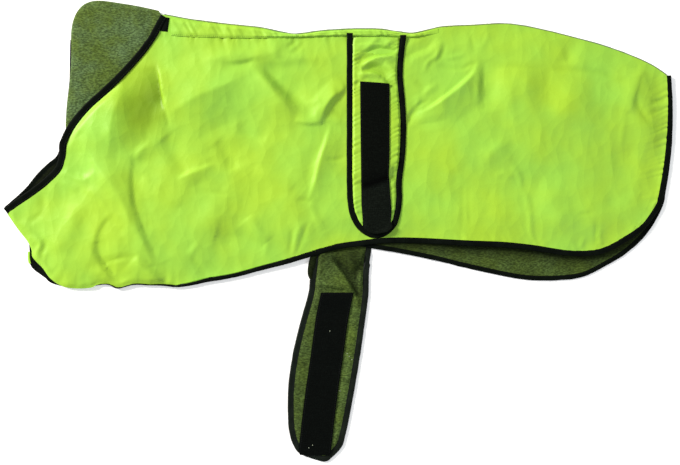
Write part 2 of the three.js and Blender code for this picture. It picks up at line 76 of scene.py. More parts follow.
# ---- Folds of the near panel ----
# Each path runs upwards or towards the tail, so that its left side looks to the front.
# A ridge has a rise above 0 and a trough one below 0. Left and right are how far each side
# slopes away, and edge is 1 for a pressed crease up to 2 for a soft roll.
NEAR_FOLDS = (
    # rise, left, right, edge, path of (x, y)
    # neck and throat
    (8.0, 85, 34, 1.3, ((-344, 104), (-339, 150), (-330, 190), (-318, 226))),
    (-7.0, 36, 2.2, 1.2, ((-262, 172), (-265, 196), (-269, 218), (-274, 254))),
    (2.6, 2, 8, 1.3, ((-262, 200), (-263, 218), (-268, 236), (-286, 248))),
    (-3.0, 3, 2, 1.0, ((-252, 156), (-256, 172), (-260, 188), (-263, 206))),
    (2.5, 5, 10, 1.3, ((-304, 106), (-293, 121), (-279, 132))),
    (-2.4, 4, 14, 1.2, ((-268, -48), (-281, -19), (-295, 15), (-304, 46), (-306, 84), (-303, 112))),
    (3.6, 14, 19, 1.2, ((-276, -52), (-286, -24), (-308, 12), (-327, 55), (-355, 91), (-386, 142))),
    (1.6, 5, 8, 1.1, ((-320, 6), (-339, 25), (-358, 53), (-386, 65))),
    (-1.2, 3, 3, 1.0, ((-303, 6), (-309, 30), (-318, 48))),
    (3.0, 5, 8, 1.3, ((-412, 93), (-396, 81), (-378, 77), (-362, 90))),
    (2.2, 4, 6, 1.2, ((-416, 76), (-400, 68), (-387, 61))),
    (-2.4, 5, 5, 1.2, ((-441, 28), (-443, 40), (-448, 54))),
    (2.0, 3, 4, 1.0, ((-459, -6), (-466, 7), (-482, 14), (-492, 22))),
    (2.4, 3, 4, 1.0, ((-441, -52), (-452, -34), (-446, -20), (-464, -6))),
    (-2.2, 3, 3, 1.0, ((-432, -52), (-443, -36), (-438, -18), (-452, -2))),
    (1.8, 3, 3, 1.0, ((-428, -66), (-440, -48), (-436, -30))),
    (-2.2, 4, 4, 1.1, ((-465, 13), (-451, 21), (-440, 30))),
    (-1.5, 3, 20, 1.2, ((-350, -46), (-359, -22), (-352, 4), (-334, 26))),
    (-3.2, 4, 14, 1.2, ((-326, -80), (-344, -56), (-358, -36), (-364, -16))),
    (-2.4, 5, 4, 1.1, ((-354, -50), (-335, -42), (-304, -37))),
    (3.6, 20, 5, 1.2, ((-262, -77), (-281, -61), (-304, -40))),
    (2.0, 8, 10, 1.5, ((-372, -60), (-350, -66), (-338, -75))),
    (2.4, 14, 14, 1.8, ((-420, -30), (-400, 0), (-392, 40))),
    # below the back band
    (-2.4, 3, 3, 1.0, ((-76, 274), (-69, 280), (-61, 287))),
    (-1.4, 3, 3, 1.0, ((-72, 266), (-60, 272), (-50, 284))),
    (2.6, 10, 8, 1.5, ((-204, 253), (-165, 261), (-115, 263), (-50, 262))),
    (-3.2, 4, 8, 1.0, ((-172, 250), (-150, 249), (-122, 256))),
    (2.2, 2, 3, 1.0, ((-168, 254), (-145, 255), (-118, 261))),
    (2.2, 6, 6, 1.1, ((-118, 254), (-80, 254), (-50, 258), (-16, 254))),
    (6.6, 40, 34, 1.3, ((-268, 164), (-215, 198), (-168, 218), (-118, 243))),
    (4.6, 34, 8, 1.1, ((-54, 160), (-80, 190), (-108, 222), (-134, 256))),
    (-4.6, 8, 26, 1.1, ((-36, 176), (-62, 202), (-96, 232), (-130, 258))),
    (2.0, 16, 12, 1.6, ((-98, 262), (-92, 280), (-96, 292))),
    (3.4, 9, 3, 1.1, ((-63, 166), (-45, 162), (-24, 162))),
    (4.4, 14, 5, 1.1, ((-27, 160), (-21, 180), (-9, 199), (2, 206), (13, 219))),
    (1.6, 4, 5, 1.0, ((-48, 187), (-38, 193), (-24, 197))),
    (1.5, 4, 4, 1.1, ((-36, 168), (-30, 178), (-25, 188))),
    (-1.8, 4, 4, 1.1, ((-9, 181), (2, 173), (13, 166))),
    (1.4, 4, 4, 1.1, ((-19, 165), (-9, 165), (2, 161))),
    (-2.4, 6, 6, 1.4, ((-4, 204), (4, 205), (12, 206))),
    # middle of the body
    (2.4, 3, 15, 1.1, ((-43, 46), (-34, 75), (-26, 108), (-17, 135), (-10, 160))),
    (-1.4, 12, 6, 1.6, ((-50, 60), (-42, 95), (-34, 125))),
    (1.8, 4, 5, 1.1, ((-23, 1), (-32, 18), (-41, 42))),
    (2.4, 4, 4, 1.1, ((-67, -36), (-62, -8), (-54, 14))),
    (-1.5, 2, 3, 1.0, ((-60, -32), (-51, -4), (-45, 14))),
    (-1.6, 3, 4, 1.0, ((-75, -40), (-69, -12), (-72, 10))),
    (-1.6, 4, 3, 1.0, ((-62, 46), (-50, 46), (-39, 43))),
    (-1.2, 3, 3, 1.0, ((-18, -3), (-12, -12), (-7, -22))),
    (-1.8, 3, 3, 1.0, ((-18, 107), (0, 107), (13, 112))),
    (-2.6, 9, 8, 1.7, ((-150, 160), (-132, 145), (-108, 136))),
    (-2.8, 12, 10, 1.8, ((-182, 134), (-165, 115), (-154, 92))),
    (2.2, 2.5, 12, 1.1, ((-240, 77), (-213, 89), (-184, 100))),
    (1.5, 3, 5, 1.1, ((-177, 30), (-205, 52), (-236, 74))),
    (-3.2, 18, 12, 1.8, ((-262, 138), (-242, 114), (-224, 88))),
    (-1.1, 3, 3, 1.0, ((-204, 61), (-186, 58), (-156, 55))),
    (2.2, 6, 9, 1.4, ((-292, 80), (-264, 56), (-236, 38))),
    (2.0, 8, 10, 1.6, ((-124, 93), (-98, 81), (-66, 65))),
    (2.4, 8, 12, 1.6, ((-132, 22), (-118, 0), (-106, -16))),
    (-3.2, 16, 16, 1.9, ((-184, -6), (-150, -15), (-108, -24))),
    (2.6, 22, 24, 2.0, ((-225, -20), (-190, 20), (-172, 70))),
    (-1.8, 4, 5, 1.1, ((-226, -36), (-210, -50), (-199, -70))),
    (-1.4, 4, 4, 1.1, ((-196, -44), (-184, -58), (-176, -66))),
    (1.4, 4, 5, 1.2, ((-222, -36), (-214, -24), (-206, -16))),
    # behind the strap
    (-3.8, 8, 6, 1.1, ((100, 258), (113, 267), (130, 274), (147, 291))),
    (2.0, 3, 4, 1.1, ((128, 236), (134, 251), (148, 262), (154, 286))),
    (-1.6, 3, 3, 1.0, ((134, 240), (140, 252), (153, 260), (160, 280))),
    (1.4, 3, 3, 1.0, ((158, 258), (174, 260), (190, 265))),
    (-1.2, 4, 3, 1.0, ((150, 247), (170, 243), (190, 243))),
    (-1.8, 3, 3, 1.0, ((186, 242), (198, 249), (209, 252))),
    (4.2, 3, 24, 1.1, ((112, 170), (140, 184), (168, 204), (190, 222), (203, 236), (214, 258))),
    (1.4, 5, 4, 1.1, ((206, 188), (211, 225), (214, 252))),
    (-1.8, 6, 14, 1.2, ((221, 180), (218, 218), (217, 256))),
    (-1.4, 3, 3, 1.1, ((204, 266), (201, 284), (196, 302))),
    (1.3, 4, 4, 1.2, ((214, 272), (222, 286), (225, 300))),
    (-3.4, 4, 8, 1.3, ((107, 158), (109, 172), (123, 185))),
    (-2.0, 6, 7, 1.3, ((112, 157), (140, 162), (166, 167))),
    (-2.0, 3, 3, 1.0, ((110, 181), (122, 189), (136, 195))),
    (1.8, 3, 3, 1.0, ((112, 199), (121, 197), (117, 187), (124, 182))),
    (2.2, 4, 5, 1.1, ((127, 199), (135, 210), (149, 219))),
    (-1.3, 4, 4, 1.2, ((117, 226), (124, 218), (132, 212))),
    (4.8, 32, 40, 1.8, ((222, 204), (262, 216), (318, 212))),
    (2.8, 14, 24, 1.5, ((214, 88), (227, 112), (247, 128), (268, 135))),
    (1.3, 4, 5, 1.1, ((236, 81), (248, 86), (260, 78))),
    (1.8, 4, 4, 1.0, ((274, 58), (272, 80), (261, 98))),
    (1.5, 4, 4, 1.0, ((287, 20), (284, 44), (275, 64))),
    (2.0, 3, 4, 1.0, ((291, -18), (288, 4), (286, 30))),
    (-0.9, 3, 3, 1.0, ((184, -12), (187, 30), (187, 84))),
    (-0.7, 3, 3, 1.0, ((195, -12), (196, 30), (195, 76))),
    (3.2, 22, 26, 1.9, ((348, -8), (322, 38), (302, 80))),
    (2.6, 30, 40, 2.0, ((330, 150), (345, 190), (372, 222))),
    # tail
    (-5.0, 30, 32, 1.6, ((401, 8), (411, 48), (427, 92), (443, 130), (456, 160))),
    (1.0, 4, 4, 1.0, ((424, 118), (427, 155), (432, 184))),
    (2.6, 18, 10, 1.4, ((434, 176), (443, 206), (455, 242))),
    (-1.8, 4, 6, 1.1, ((456, 238), (447, 200), (453, 180), (465, 164), (480, 156), (495, 152))),
    (-2.2, 3, 4, 1.0, ((468, 195), (480, 195), (495, 196))),
    (-1.3, 4, 4, 1.1, ((464, 176), (480, 180), (494, 177))),
    (-1.9, 3, 3, 1.0, ((388, -26), (386, -4), (387, 22))),
    (1.4, 3, 3, 1.0, ((393, -26), (391, -10), (391, 4))),
    (-1.1, 3, 3, 1.0, ((361, 25), (370, 26), (381, 27))),
    (1.3, 3, 4, 1.0, ((362, -28), (365, -18), (367, -8))),
    (-1.4, 5, 4, 1.1, ((315, 242), (360, 240), (395, 236), (419, 226), (444, 224))),
    (-1.2, 5, 4, 1.1, ((232, 246), (270, 246), (306, 243))),
    (-2.0, 8, 10, 1.7, ((344, 250), (346, 270), (344, 288))),
)
# Folds of the cloth at the top of the strap, above the hook tape.
STRAP_FOLDS = (
    # rise, left, right, edge, path of (x, y)
    (-3.2, 7, 5, 1.1, ((29, 250), (46, 262), (65, 268), (91, 269))),
    (2.2, 5, 7, 1.2, ((32, 243), (50, 255), (68, 259), (88, 260))),
    (-2.8, 7, 4, 1.1, ((36, 239), (52, 241), (67, 235), (72, 226))),
    (2.2, 4, 5, 1.2, ((30, 231), (45, 236), (64, 231))),
    (-2.2, 4, 4, 1.1, ((70, 229), (78, 220), (91, 212))),
    (1.6, 5, 5, 1.3, ((69, 250), (80, 243), (88, 230))),
    (1.2, 5, 5, 1.4, ((40, 268), (50, 280), (62, 289))),
    (1.2, 5, 5, 1.4, ((66, 272), (76, 282), (84, 289))),
    (-1.8, 4, 4, 1.1, ((81, 96), (86, 90), (92, 92))),
    (-1.8, 4, 4, 1.1, ((79, 84), (85, 80), (90, 76))),
    (-1.2, 3, 3, 1.1, ((23, 214), (28, 218), (32, 224))),
)
# Folds of the mesh at the top of the belly strap.
BELLY_FOLDS = (
    # rise, left, right, edge, path of (x, y)
    (-4.2, 3, 10, 1.0, ((35, -108), (26, -88), (16, -69), (2, -50), (-8, -36))),
    (-3.4, 5, 8, 1.1, ((20, -72), (30, -58), (40, -44))),
    (3.0, 4, 5, 1.3, ((-30, -76), (-6, -80), (12, -84), (24, -93))),
    (-2.8, 2, 3, 1.0, ((-34, -80), (-8, -87), (14, -90), (26, -98))),
    (-1.2, 2, 3, 1.0, ((-24, -57), (-19, -60), (-15, -61))),
    (-1.2, 2, 3, 1.0, ((-40, -103), (-35, -100), (-31, -97))),
)
# Folds of the far half's mesh, where its hem shows below the near one.
FAR_FOLDS = (
    # rise, left, right, edge, path of (x, y)
    (-1.2, 6, 6, 1.6, ((190, -44), (194, -32), (192, -20))),
    (-1.3, 8, 6, 1.6, ((214, -44), (218, -30), (216, -18))),
    (-1.0, 3, 3, 1.0, ((242, -56), (243, -49), (244, -40))),
    (0.9, 6, 6, 1.5, ((228, -52), (231, -38), (232, -24))),
    (0.8, 5, 5, 1.3, ((150, -34), (190, -46), (235, -56), (290, -61))),
    (-0.8, 3, 3, 1.0, ((328, -44), (334, -54), (342, -60))),
    (0.8, 6, 6, 1.5, ((300, -34), (306, -46), (304, -60))),
)
# Lines of one crease or one row of stitches, as (x, y).
STRAP_KINK = ((33, 69), (55, 75), (78, 84))  # the hook tape folds over along this line
SHOULDER_CREASE = ((-247, 138), (-256, 166), (-262.5, 204), (-267, 236), (-270, 262))
BAND_STITCHES = (
    (-262, 296), (-240, 292.5), (-200, 290.5), (-150, 289), (-90, 290), (-20, 291), (14, 292),
)


# ---- Lines ----
def distances(line):
    """How far along a line each of its points lies."""
    return np.concatenate([[0], np.cumsum(np.linalg.norm(np.diff(line, axis=0), axis=1))])


def at_share(line, share):
    """Points of a line at shares of its length, from 0 to 1."""
    done = distances(line)
    return np.column_stack([np.interp(share * done[-1], done, column) for column in line.T])


def evenly(line, step):
    """The same line, cut into even steps of about that length."""
    line = np.asarray(line, float)
    count = max(round(distances(line)[-1] / step), 1)
    return at_share(line, np.linspace(0, 1, count + 1))


def smooth_line(points, step):
    """A Catmull-Rom curve through the points, cut into even steps."""
    points = np.asarray(points, float)
    ends = 2 * points[0] - points[1], 2 * points[-1] - points[-2]
    row = np.vstack([ends[0], points, ends[1]])
    t = np.linspace(0, 1, 8, endpoint=False)[:, None]
    spans = []
    for a, b, c, d in zip(row, row[1:], row[2:], row[3:]):
        bend = (2 * a - 5 * b + 4 * c - d) * t**2
        twist = (3 * b - a - 3 * c + d) * t**3
        spans.append(b + 0.5 * ((c - a) * t + bend + twist))
    return evenly(np.vstack([*spans, points[-1:]]), step)


def beside(line):
    """Unit vectors to the left of a line, at each of its points."""
    run = np.gradient(line, axis=0)
    run /= np.linalg.norm(run, axis=1)[:, None]
    return np.column_stack([-run[:, 1], run[:, 0]])


def from_line(line, x, y):
    """How far each place lies from a line, above 0 on its left, and how far along it."""
    line = np.asarray(line, float)
    start, run = line[:-1], np.diff(line, axis=0)
    length = np.linalg.norm(run, axis=1)
    place = np.column_stack([x, y])[:, None] - start[None]
    share = np.clip((place * run).sum(2) / length**2, 0, 1)
    gap = np.linalg.norm(place - share[..., None] * run, axis=2)
    nearest = gap.argmin(1)
    pick = np.arange(len(x)), nearest
    side = np.sign(run[nearest, 0] * place[pick][:, 1] - run[nearest, 1] * place[pick][:, 0])
    along = distances(line)[nearest] + share[pick] * length[nearest]
    return np.where(side == 0, 1, side) * gap[pick], along


def gap_from(line, x, y):
    """How far each place lies from a line, on either side."""
    return np.abs(from_line(line, x, y)[0])


def ease(value):
    """A smooth step from 0 to 1."""
    t = np.clip(value, 0, 1)
    return t * t * (3 - 2 * t)


def from_sides(v, width, reach):
    """0 at both sides of a strip of that width, rising to 1 that far in."""
    return ease(np.minimum(v, 1 - v) * width / reach)


def uneven(s, wave, turn=0.0):
    """Waves of uneven length and height along s, from about -1 to 1."""
    t = 2 * math.pi * s / wave + turn
    slow = 0.6 + 0.4 * np.sin(0.23 * t + 1.3 * turn)
    return slow * (0.62 * np.sin(t + 1.4 * np.sin(0.31 * t)) + 0.38 * np.sin(1.73 * t + 1))


# ---- Outlines, read from the frame ----
def rim(node):
    """The outline of a CAD node's upper face, counter-clockwise, in millimetres."""
    shape = bmesh.new()
    shape.from_mesh(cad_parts[node].data)
    bmesh.ops.remove_doubles(shape, verts=shape.verts, dist=1e-5)
    shape.normal_update()
    under = [face for face in shape.faces if face.normal.z < 0.02]  # sides and lower face
    bmesh.ops.delete(shape, geom=under, context="FACES")
    after = {}
    for edge in shape.edges:
        if edge.is_boundary:
            loop = edge.link_loops[0]
            after[loop.vert] = loop.link_loop_next.vert
    first = vert = next(iter(after))
    line = []
    while True:
        line.append((vert.co.x / MM, vert.co.y / MM))
        vert = after[vert]
        if vert == first:
            break
    shape.free()
    return np.array(line)


def corner(line, towards):
    """The place in a closed outline that lies furthest in a direction."""
    return int((line @ np.array(towards, float)).argmax())


def stretch(line, first, last):
    """Part of a closed outline, from one of its places on to another."""
    count = (last - first) % len(line)
    return line[(first + np.arange(count + 1)) % len(line)]


def half_edges(node):
    """A half coat's hem, back, throat and tail lines."""
    line = rim(node)
    tail_top, tail_low = corner(line, (1, 1)), corner(line, (1, -0.3))
    throat_top, throat_low = corner(line, (-1, 0.5)), corner(line, (-1, -0.5))
    hem = stretch(line, throat_low, tail_low)
    back = stretch(line, tail_top, throat_top)[::-1]
    tail = stretch(line, tail_low, tail_top)
    throat = stretch(line, throat_top, throat_low)[::-1]
    return hem, back, throat, tail


def strap_edges(node):
    """Both long edges of a strap or tape that hangs down to a rounded tip."""
    line = rim(node)
    front_top, rear_top, tip = (corner(line, way) for way in ((-1, 3), (1, 3), (0, -1)))
    return stretch(line, front_top, tip), stretch(line, tip, rear_top)[::-1]


def tape_line(node):
    """The middle line of an edge tape. Its four shortest edges are its softened corners."""
    line = rim(node)
    lengths = np.linalg.norm(np.roll(line, -1, axis=0) - line, axis=1)
    short = np.sort(np.argsort(lengths)[:4])
    if short[1] - short[0] > 2:
        short = np.roll(short, -1)
    one_end, other_end = short[0], short[2]
    one = stretch(line, (one_end + 3) % len(line), other_end)
    other = stretch(line, (other_end + 3) % len(line), one_end)[::-1]
    middle = (one + other) / 2
    return middle if middle[0, 0] + middle[0, 1] < middle[-1, 0] + middle[-1, 1] else middle[::-1]


def top_of(*names, missed=0.0):
    """A function that gives the highest surface of these pieces or CAD nodes at places x, y."""
    trees = []
    for name in names:
        shape = (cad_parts.get(name) or bpy.data.objects[name]).data
        corners = [vert.co for vert in shape.vertices]
        trees.append(BVHTree.FromPolygons(corners, [face.vertices for face in shape.polygons]))
    down = Vector((0, 0, -1))

    def height(x, y):
        tops = np.full(len(x), missed)
        for i, place in enumerate(zip(x, y)):
            above = Vector((place[0] * MM, place[1] * MM, 1))
            hits = [tree.ray_cast(above, down)[0] for tree in trees]
            tops[i] = max([hit.z / MM for hit in hits if hit] or [missed])
        return tops

    return height


# ---- Cloth relief ----
PRESSED = 1.3  # folds with an edge up to this have flat faces that meet in a crisp line
ROUNDING = 0.5  # even a pressed crease is a little rounded
WIDE = 20  # folds wider than this die out more slowly at their ends


def fold_relief(folds, x, y):
    """The height of a table of folds at places x, y."""
    relief = np.zeros(len(x))
    for rise, left, right, edge, path in folds:
        line = smooth_line(path, 4)
        reach = 4 * max(left, right)
        low, high = line.min(0) - reach, line.max(0) + reach
        near = (x > low[0]) & (x < high[0]) & (y > low[1]) & (y < high[1])
        if not near.any():
            continue
        away, done = from_line(line, x[near], y[near])
        share = np.clip(done / distances(line)[-1], 0, 1)
        wide = max(left, right)
        fade = np.sin(math.pi * share) ** 0.6
        if wide > WIDE:
            fade = ease(share / 0.4) * ease((1 - share) / 0.4)
        gap = (np.sqrt(away**2 + ROUNDING**2) - ROUNDING) / np.where(away > 0, left, right)
        slope = np.clip(1 - gap / 1.6, 0, 1) ** 1.15 if edge <= PRESSED else np.exp(-(gap**edge))
        strength = 0.62 + 0.78 * ease((wide - 4) / 12)
        relief[near] += rise * strength * fade * slope
    return relief


def puffs(line, x, y, wave, slant=0.0):
    """Rounded puffs beside a line of stitching, 0 where two meet, and the gap from the line."""
    away, done = from_line(smooth_line(line, 6), x, y)
    turn = math.pi * (done + slant * away) / wave
    turn = turn + 1.1 * np.sin(0.31 * turn) + 0.5 * np.sin(0.83 * turn + 1)
    return np.abs(np.sin(turn)) ** 0.8, np.abs(away), 0.62 + 0.38 * np.sin(0.37 * turn + 2)


def puckers(line, x, y, height, wave, reach, slant=0.0):
    """The height of such puffs, which die out away from the line."""
    puff, gap, swell = puffs(line, x, y, wave, slant)
    return height * np.exp(-gap / reach) * (puff - 0.6) * swell


def pinches(line, x, y, wave, reach, slant=0.0):
    """How dark the narrow dips between the puffs are, from 0 to 1."""
    puff, gap, swell = puffs(line, x, y, wave, slant)
    return np.exp(-gap / reach) * (1 - puff) ** 1.5 * swell


# ---- Mesh making ----
def size(key):
    """A size from the sidebar, in millimetres."""
    return getattr(bpy.context.scene.raincoat_sizes, key) / MM


def add_shape(name, kind, **settings):
    """A new primitive, the only piece that is then selected."""
    bpy.ops.object.select_all(action="DESELECT")
    getattr(bpy.ops.mesh, f"primitive_{kind}_add")(**settings)
    obj = bpy.context.object
    obj.name = obj.data.name = name
    return obj


def select_only(obj):
    bpy.ops.object.select_all(action="DESELECT")
    obj.select_set(True)
    bpy.context.view_layer.objects.active = obj


def edit_all(obj, *steps):
    """Runs edit-mode steps on all of a piece, then turns its faces outwards."""
    select_only(obj)
    bpy.ops.object.mode_set(mode="EDIT")
    bpy.ops.mesh.select_all(action="SELECT")
    for step, settings in steps:
        step(**settings)
        bpy.ops.mesh.select_all(action="SELECT")
    bpy.ops.mesh.normals_make_consistent(inside=False)
    bpy.ops.object.mode_set(mode="OBJECT")


def add_grid(name, columns, rows):
    """A new flat grid, and each point's place in it, from 0 to 1 both ways."""
    obj = add_shape(name, "grid", x_subdivisions=columns, y_subdivisions=rows, size=1)
    obj.data.uv_layers.active.name = "Cloth"
    place = np.zeros(len(obj.data.vertices) * 3)
    obj.data.vertices.foreach_get("co", place)
    place = place.reshape(-1, 3)
    return obj, place[:, 0] + 0.5, place[:, 1] + 0.5


def set_points(obj, x, y, z):
    """Places every vertex, from millimetres."""
    points = np.column_stack([x, y, z]) * MM
    obj.data.vertices.foreach_set("co", points.astype(np.float32).ravel())
    obj.data.update()


def stretch_uv(obj, width, length):
    """Turns the unit UV square into metres of cloth, so that weaves keep their size."""
    layer = obj.data.uv_layers["Cloth"].data
    uv = np.zeros(len(layer) * 2)
    layer.foreach_get("uv", uv)
    uv = uv.reshape(-1, 2) * (width * MM, length * MM)
    layer.foreach_set("uv", uv.astype(np.float32).ravel())


def set_tone(obj, tone):
    """Painted shade: how much light reaches each point, from 0 deep in a fold to 1, read by the materials.
    """
    values = np.zeros(len(obj.data.vertices), np.float32)
    values[:] = tone
    layers = obj.data.attributes
    layer = layers.get("Tone") or layers.new("Tone", "FLOAT", "POINT")
    layer.data.foreach_set("value", values)


def apply_modifier(obj, kind, **settings):
    select_only(obj)
    modifier = obj.modifiers.new(kind.title(), kind)
    for key, value in settings.items():
        setattr(modifier, key, value)
    bpy.ops.object.modifier_apply(modifier=modifier.name)


def finish_piece(obj, cloth, slot, *nodes):
    """The last steps of every piece: shading, material, body and CAD nodes. The slot is not used."""
    select_only(obj)
    bpy.ops.object.shade_smooth_by_angle(angle=SHARPEST_SMOOTH)
    obj.data.materials.clear()
    obj.data.materials.append(material(cloth))
    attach(obj, "root")
    if nodes:
        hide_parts(*nodes)


def between(u, v, low, high, start=None, end=None):
    """A patch spanned by four edge lines: u runs along low and high, v from low to high."""
    along, across = u[:, None], v[:, None]
    patch = (1 - across) * at_share(low, u) + across * at_share(high, u)
    for share, end_line in ((1 - along, start), (along, end)):
        if end_line is not None:
            straight = (1 - across) * end_line[0] + across * end_line[-1]
            patch += share * (at_share(end_line, v) - straight)
    return patch.T


def soften(z, u, v, cells):
    """Blurs heights over a grid by about that many cells."""
    order = np.lexsort((u, v))
    columns = len(np.unique(np.round(u, 6)))
    field = z[order].reshape(-1, columns)
    reach = int(3 * cells)
    weights = np.exp(-0.5 * (np.arange(-reach, reach + 1) / cells) ** 2)
    weights /= weights.sum()
    for axis in (0, 1):
        pad = [(reach, reach) if i == axis else (0, 0) for i in (0, 1)]
        padded = np.pad(field, pad, mode="edge")
        field = np.apply_along_axis(np.convolve, axis, padded, weights, "valid")
    out = np.empty_like(z)
    out[order] = field.ravel()
    return out


def settled(top, x, y, u, v, cells):
    """The heights of a surface over a grid, with its gaps filled, softened."""
    heights = top(x, y)
    missing = heights <= 0
    heights[missing] = np.median(heights[~missing])
    return soften(heights, u, v, cells)


def lay_sheet(name, edges, cell, height, tone=None, thick=None):
    """A cloth between its edge lines; height(x, y, u, v) gives its upper side, tone its painted shade."""
    low, high, *ends = edges
    length = max(distances(side)[-1] for side in (low, high))
    share = np.linspace(0, 1, 40)
    width = np.linalg.norm(at_share(high, share) - at_share(low, share), axis=1).max()
    obj, u, v = add_grid(name, round(length / cell), max(round(width / cell), 3))
    x, y = between(u, v, low, high, *ends)
    z = height(x, y, u, v)
    set_points(obj, x, y, z)
    stretch_uv(obj, length, width)
    set_tone(obj, tone(x, y) if tone else 1)
    apply_modifier(obj, "SOLIDIFY", thickness=(thick or size("cloth")) * MM, offset=-1)
    return obj


# Cross-sections of a tape, as (share of its width from the outer fold, share of its thickness).
FOLDED_TAPE = (
    (0, 0.5), (0.03, 0.74), (0.1, 0.93), (0.22, 1), (0.5, 0.93), (0.7, 0.84), (0.78, 0.76), (0.86, 0.84),
    (0.97, 0.8), (1, 0.66), (1, 0.3), (0.97, 0.16), (0.8, 0.1), (0.22, 0), (0.1, 0.07), (0.03, 0.26),
)
ROLLED_SEAM = (
    (0, 0.5), (0.08, 0.72), (0.3, 0.92), (0.6, 1), (1, 0.97), (1, 0.03), (0.6, 0), (0.3, 0.08),
    (0.08, 0.28),
)


def lay_tape(name, line, width, span, coat_on_left, section=FOLDED_TAPE, overlap=1.2, step=2.2):
    """A tape along its middle line; span(x, y) gives its lowest and highest side.

    Its outer fold lies away from the coat, and its open side laps over the cloth a little.
    width is a number, or a function of the distance along the line.
    """
    line = smooth_line(line, step)
    way = beside(line) * (1 if coat_on_left else -1)
    along = np.arange(len(line)) * step
    width = width(along) if callable(width) else np.full(len(line), float(width))
    obj, u, v = add_grid(name, len(line) - 1, len(section))
    row = np.round(u * (len(line) - 1)).astype(int)
    column = np.round(v * len(section)).astype(int) % len(section)
    share, up = np.array(section).T
    wander = 0.25 * uneven(along, 37) + 0.12 * uneven(along, 9.5, 2)
    across = -width[row] / 2 + share[column] * (width[row] + overlap)
    across += wander[row] * (1 - share[column])
    low, high = span(line[:, 0], line[:, 1])
    thick = (high - low) * (1 + 0.08 * uneven(along, 13, 1) + 0.05 * uneven(along, 5.3, 3))
    x, y = (line[row] + way[row] * across[:, None]).T
    set_points(obj, x, y, low[row] + thick[row] * up[column])
    stretch_uv(obj, along[-1], 2 * width.max())
    set_tone(obj, 1)
    close = (bpy.ops.mesh.remove_doubles, {"threshold": 1e-6}), (bpy.ops.mesh.fill_holes, {"sides": 0})
    edit_all(obj, *close)
    return obj


def level(low, high):
    """The lowest and highest side of a tape that lies level."""
    return lambda x, y: (np.full(len(x), low), np.full(len(x), high))


def copies(name, shape, places):
    """One mesh of many copies of a small shape; places is (count, 4, 4), in metres."""
    points = np.array([vert.co for vert in shape.data.vertices])
    faces = [tuple(face.vertices) for face in shape.data.polygons]
    moved = np.einsum("nij,vj->nvi", places[:, :3, :3], points) + places[:, None, :3, 3]
    all_faces = []
    for i in range(len(places)):
        first = i * len(points)
        all_faces += [tuple(first + corner for corner in face) for face in faces]
    mesh = bpy.data.meshes.new(name)
    mesh.from_pydata(moved.reshape(-1, 3).tolist(), [], all_faces)
    obj = bpy.data.objects.new(name, mesh)
    bpy.context.scene.collection.objects.link(obj)
    bpy.data.objects.remove(shape)
    return obj


def frames_along(x, y, z, way):
    """Placing matrices at points in millimetres, each turned along its own way."""
    way = way / np.linalg.norm(way, axis=1)[:, None]
    side = np.cross((0, 0, 1), way)
    side /= np.linalg.norm(side, axis=1)[:, None]
    places = np.zeros((len(x), 4, 4))
    places[:, :3, 0] = way
    places[:, :3, 1] = side
    places[:, :3, 2] = np.cross(way, side)
    places[:, :3, 3] = np.column_stack([x, y, z]) * MM
    places[:, 3, 3] = 1
    return places


def sew(name, line, height, seed):
    """A row of stitches along a line, lying on height(x, y)."""
    pitch, thread = size("stitch"), size("thread")
    draw = np.random.default_rng(seed)
    line = smooth_line(line, pitch)
    middle = (line[1:] + line[:-1]) / 2
    way = np.diff(line, axis=0)
    z = height(*middle.T)
    rise = height(*(middle + way * 0.3).T) - height(*(middle - way * 0.3).T)
    held = ~np.isnan(z + rise)
    middle, way, z, rise = middle[held], way[held], z[held], rise[held]
    turn = draw.normal(0, 0.05, len(middle))
    way = np.column_stack([way[:, 0] - turn * way[:, 1], way[:, 1] + turn * way[:, 0], rise / 0.6])
    stitch = add_shape("stitch", "uv_sphere", segments=6, ring_count=5, radius=0.5)
    across, deep, along = np.array([vert.co for vert in stitch.data.vertices]).T
    set_points(stitch, 0.78 * pitch * along, thread * across, thread * deep)
    places = frames_along(*middle.T, z + 0.12 * thread, way)
    return copies(name, stitch, places)


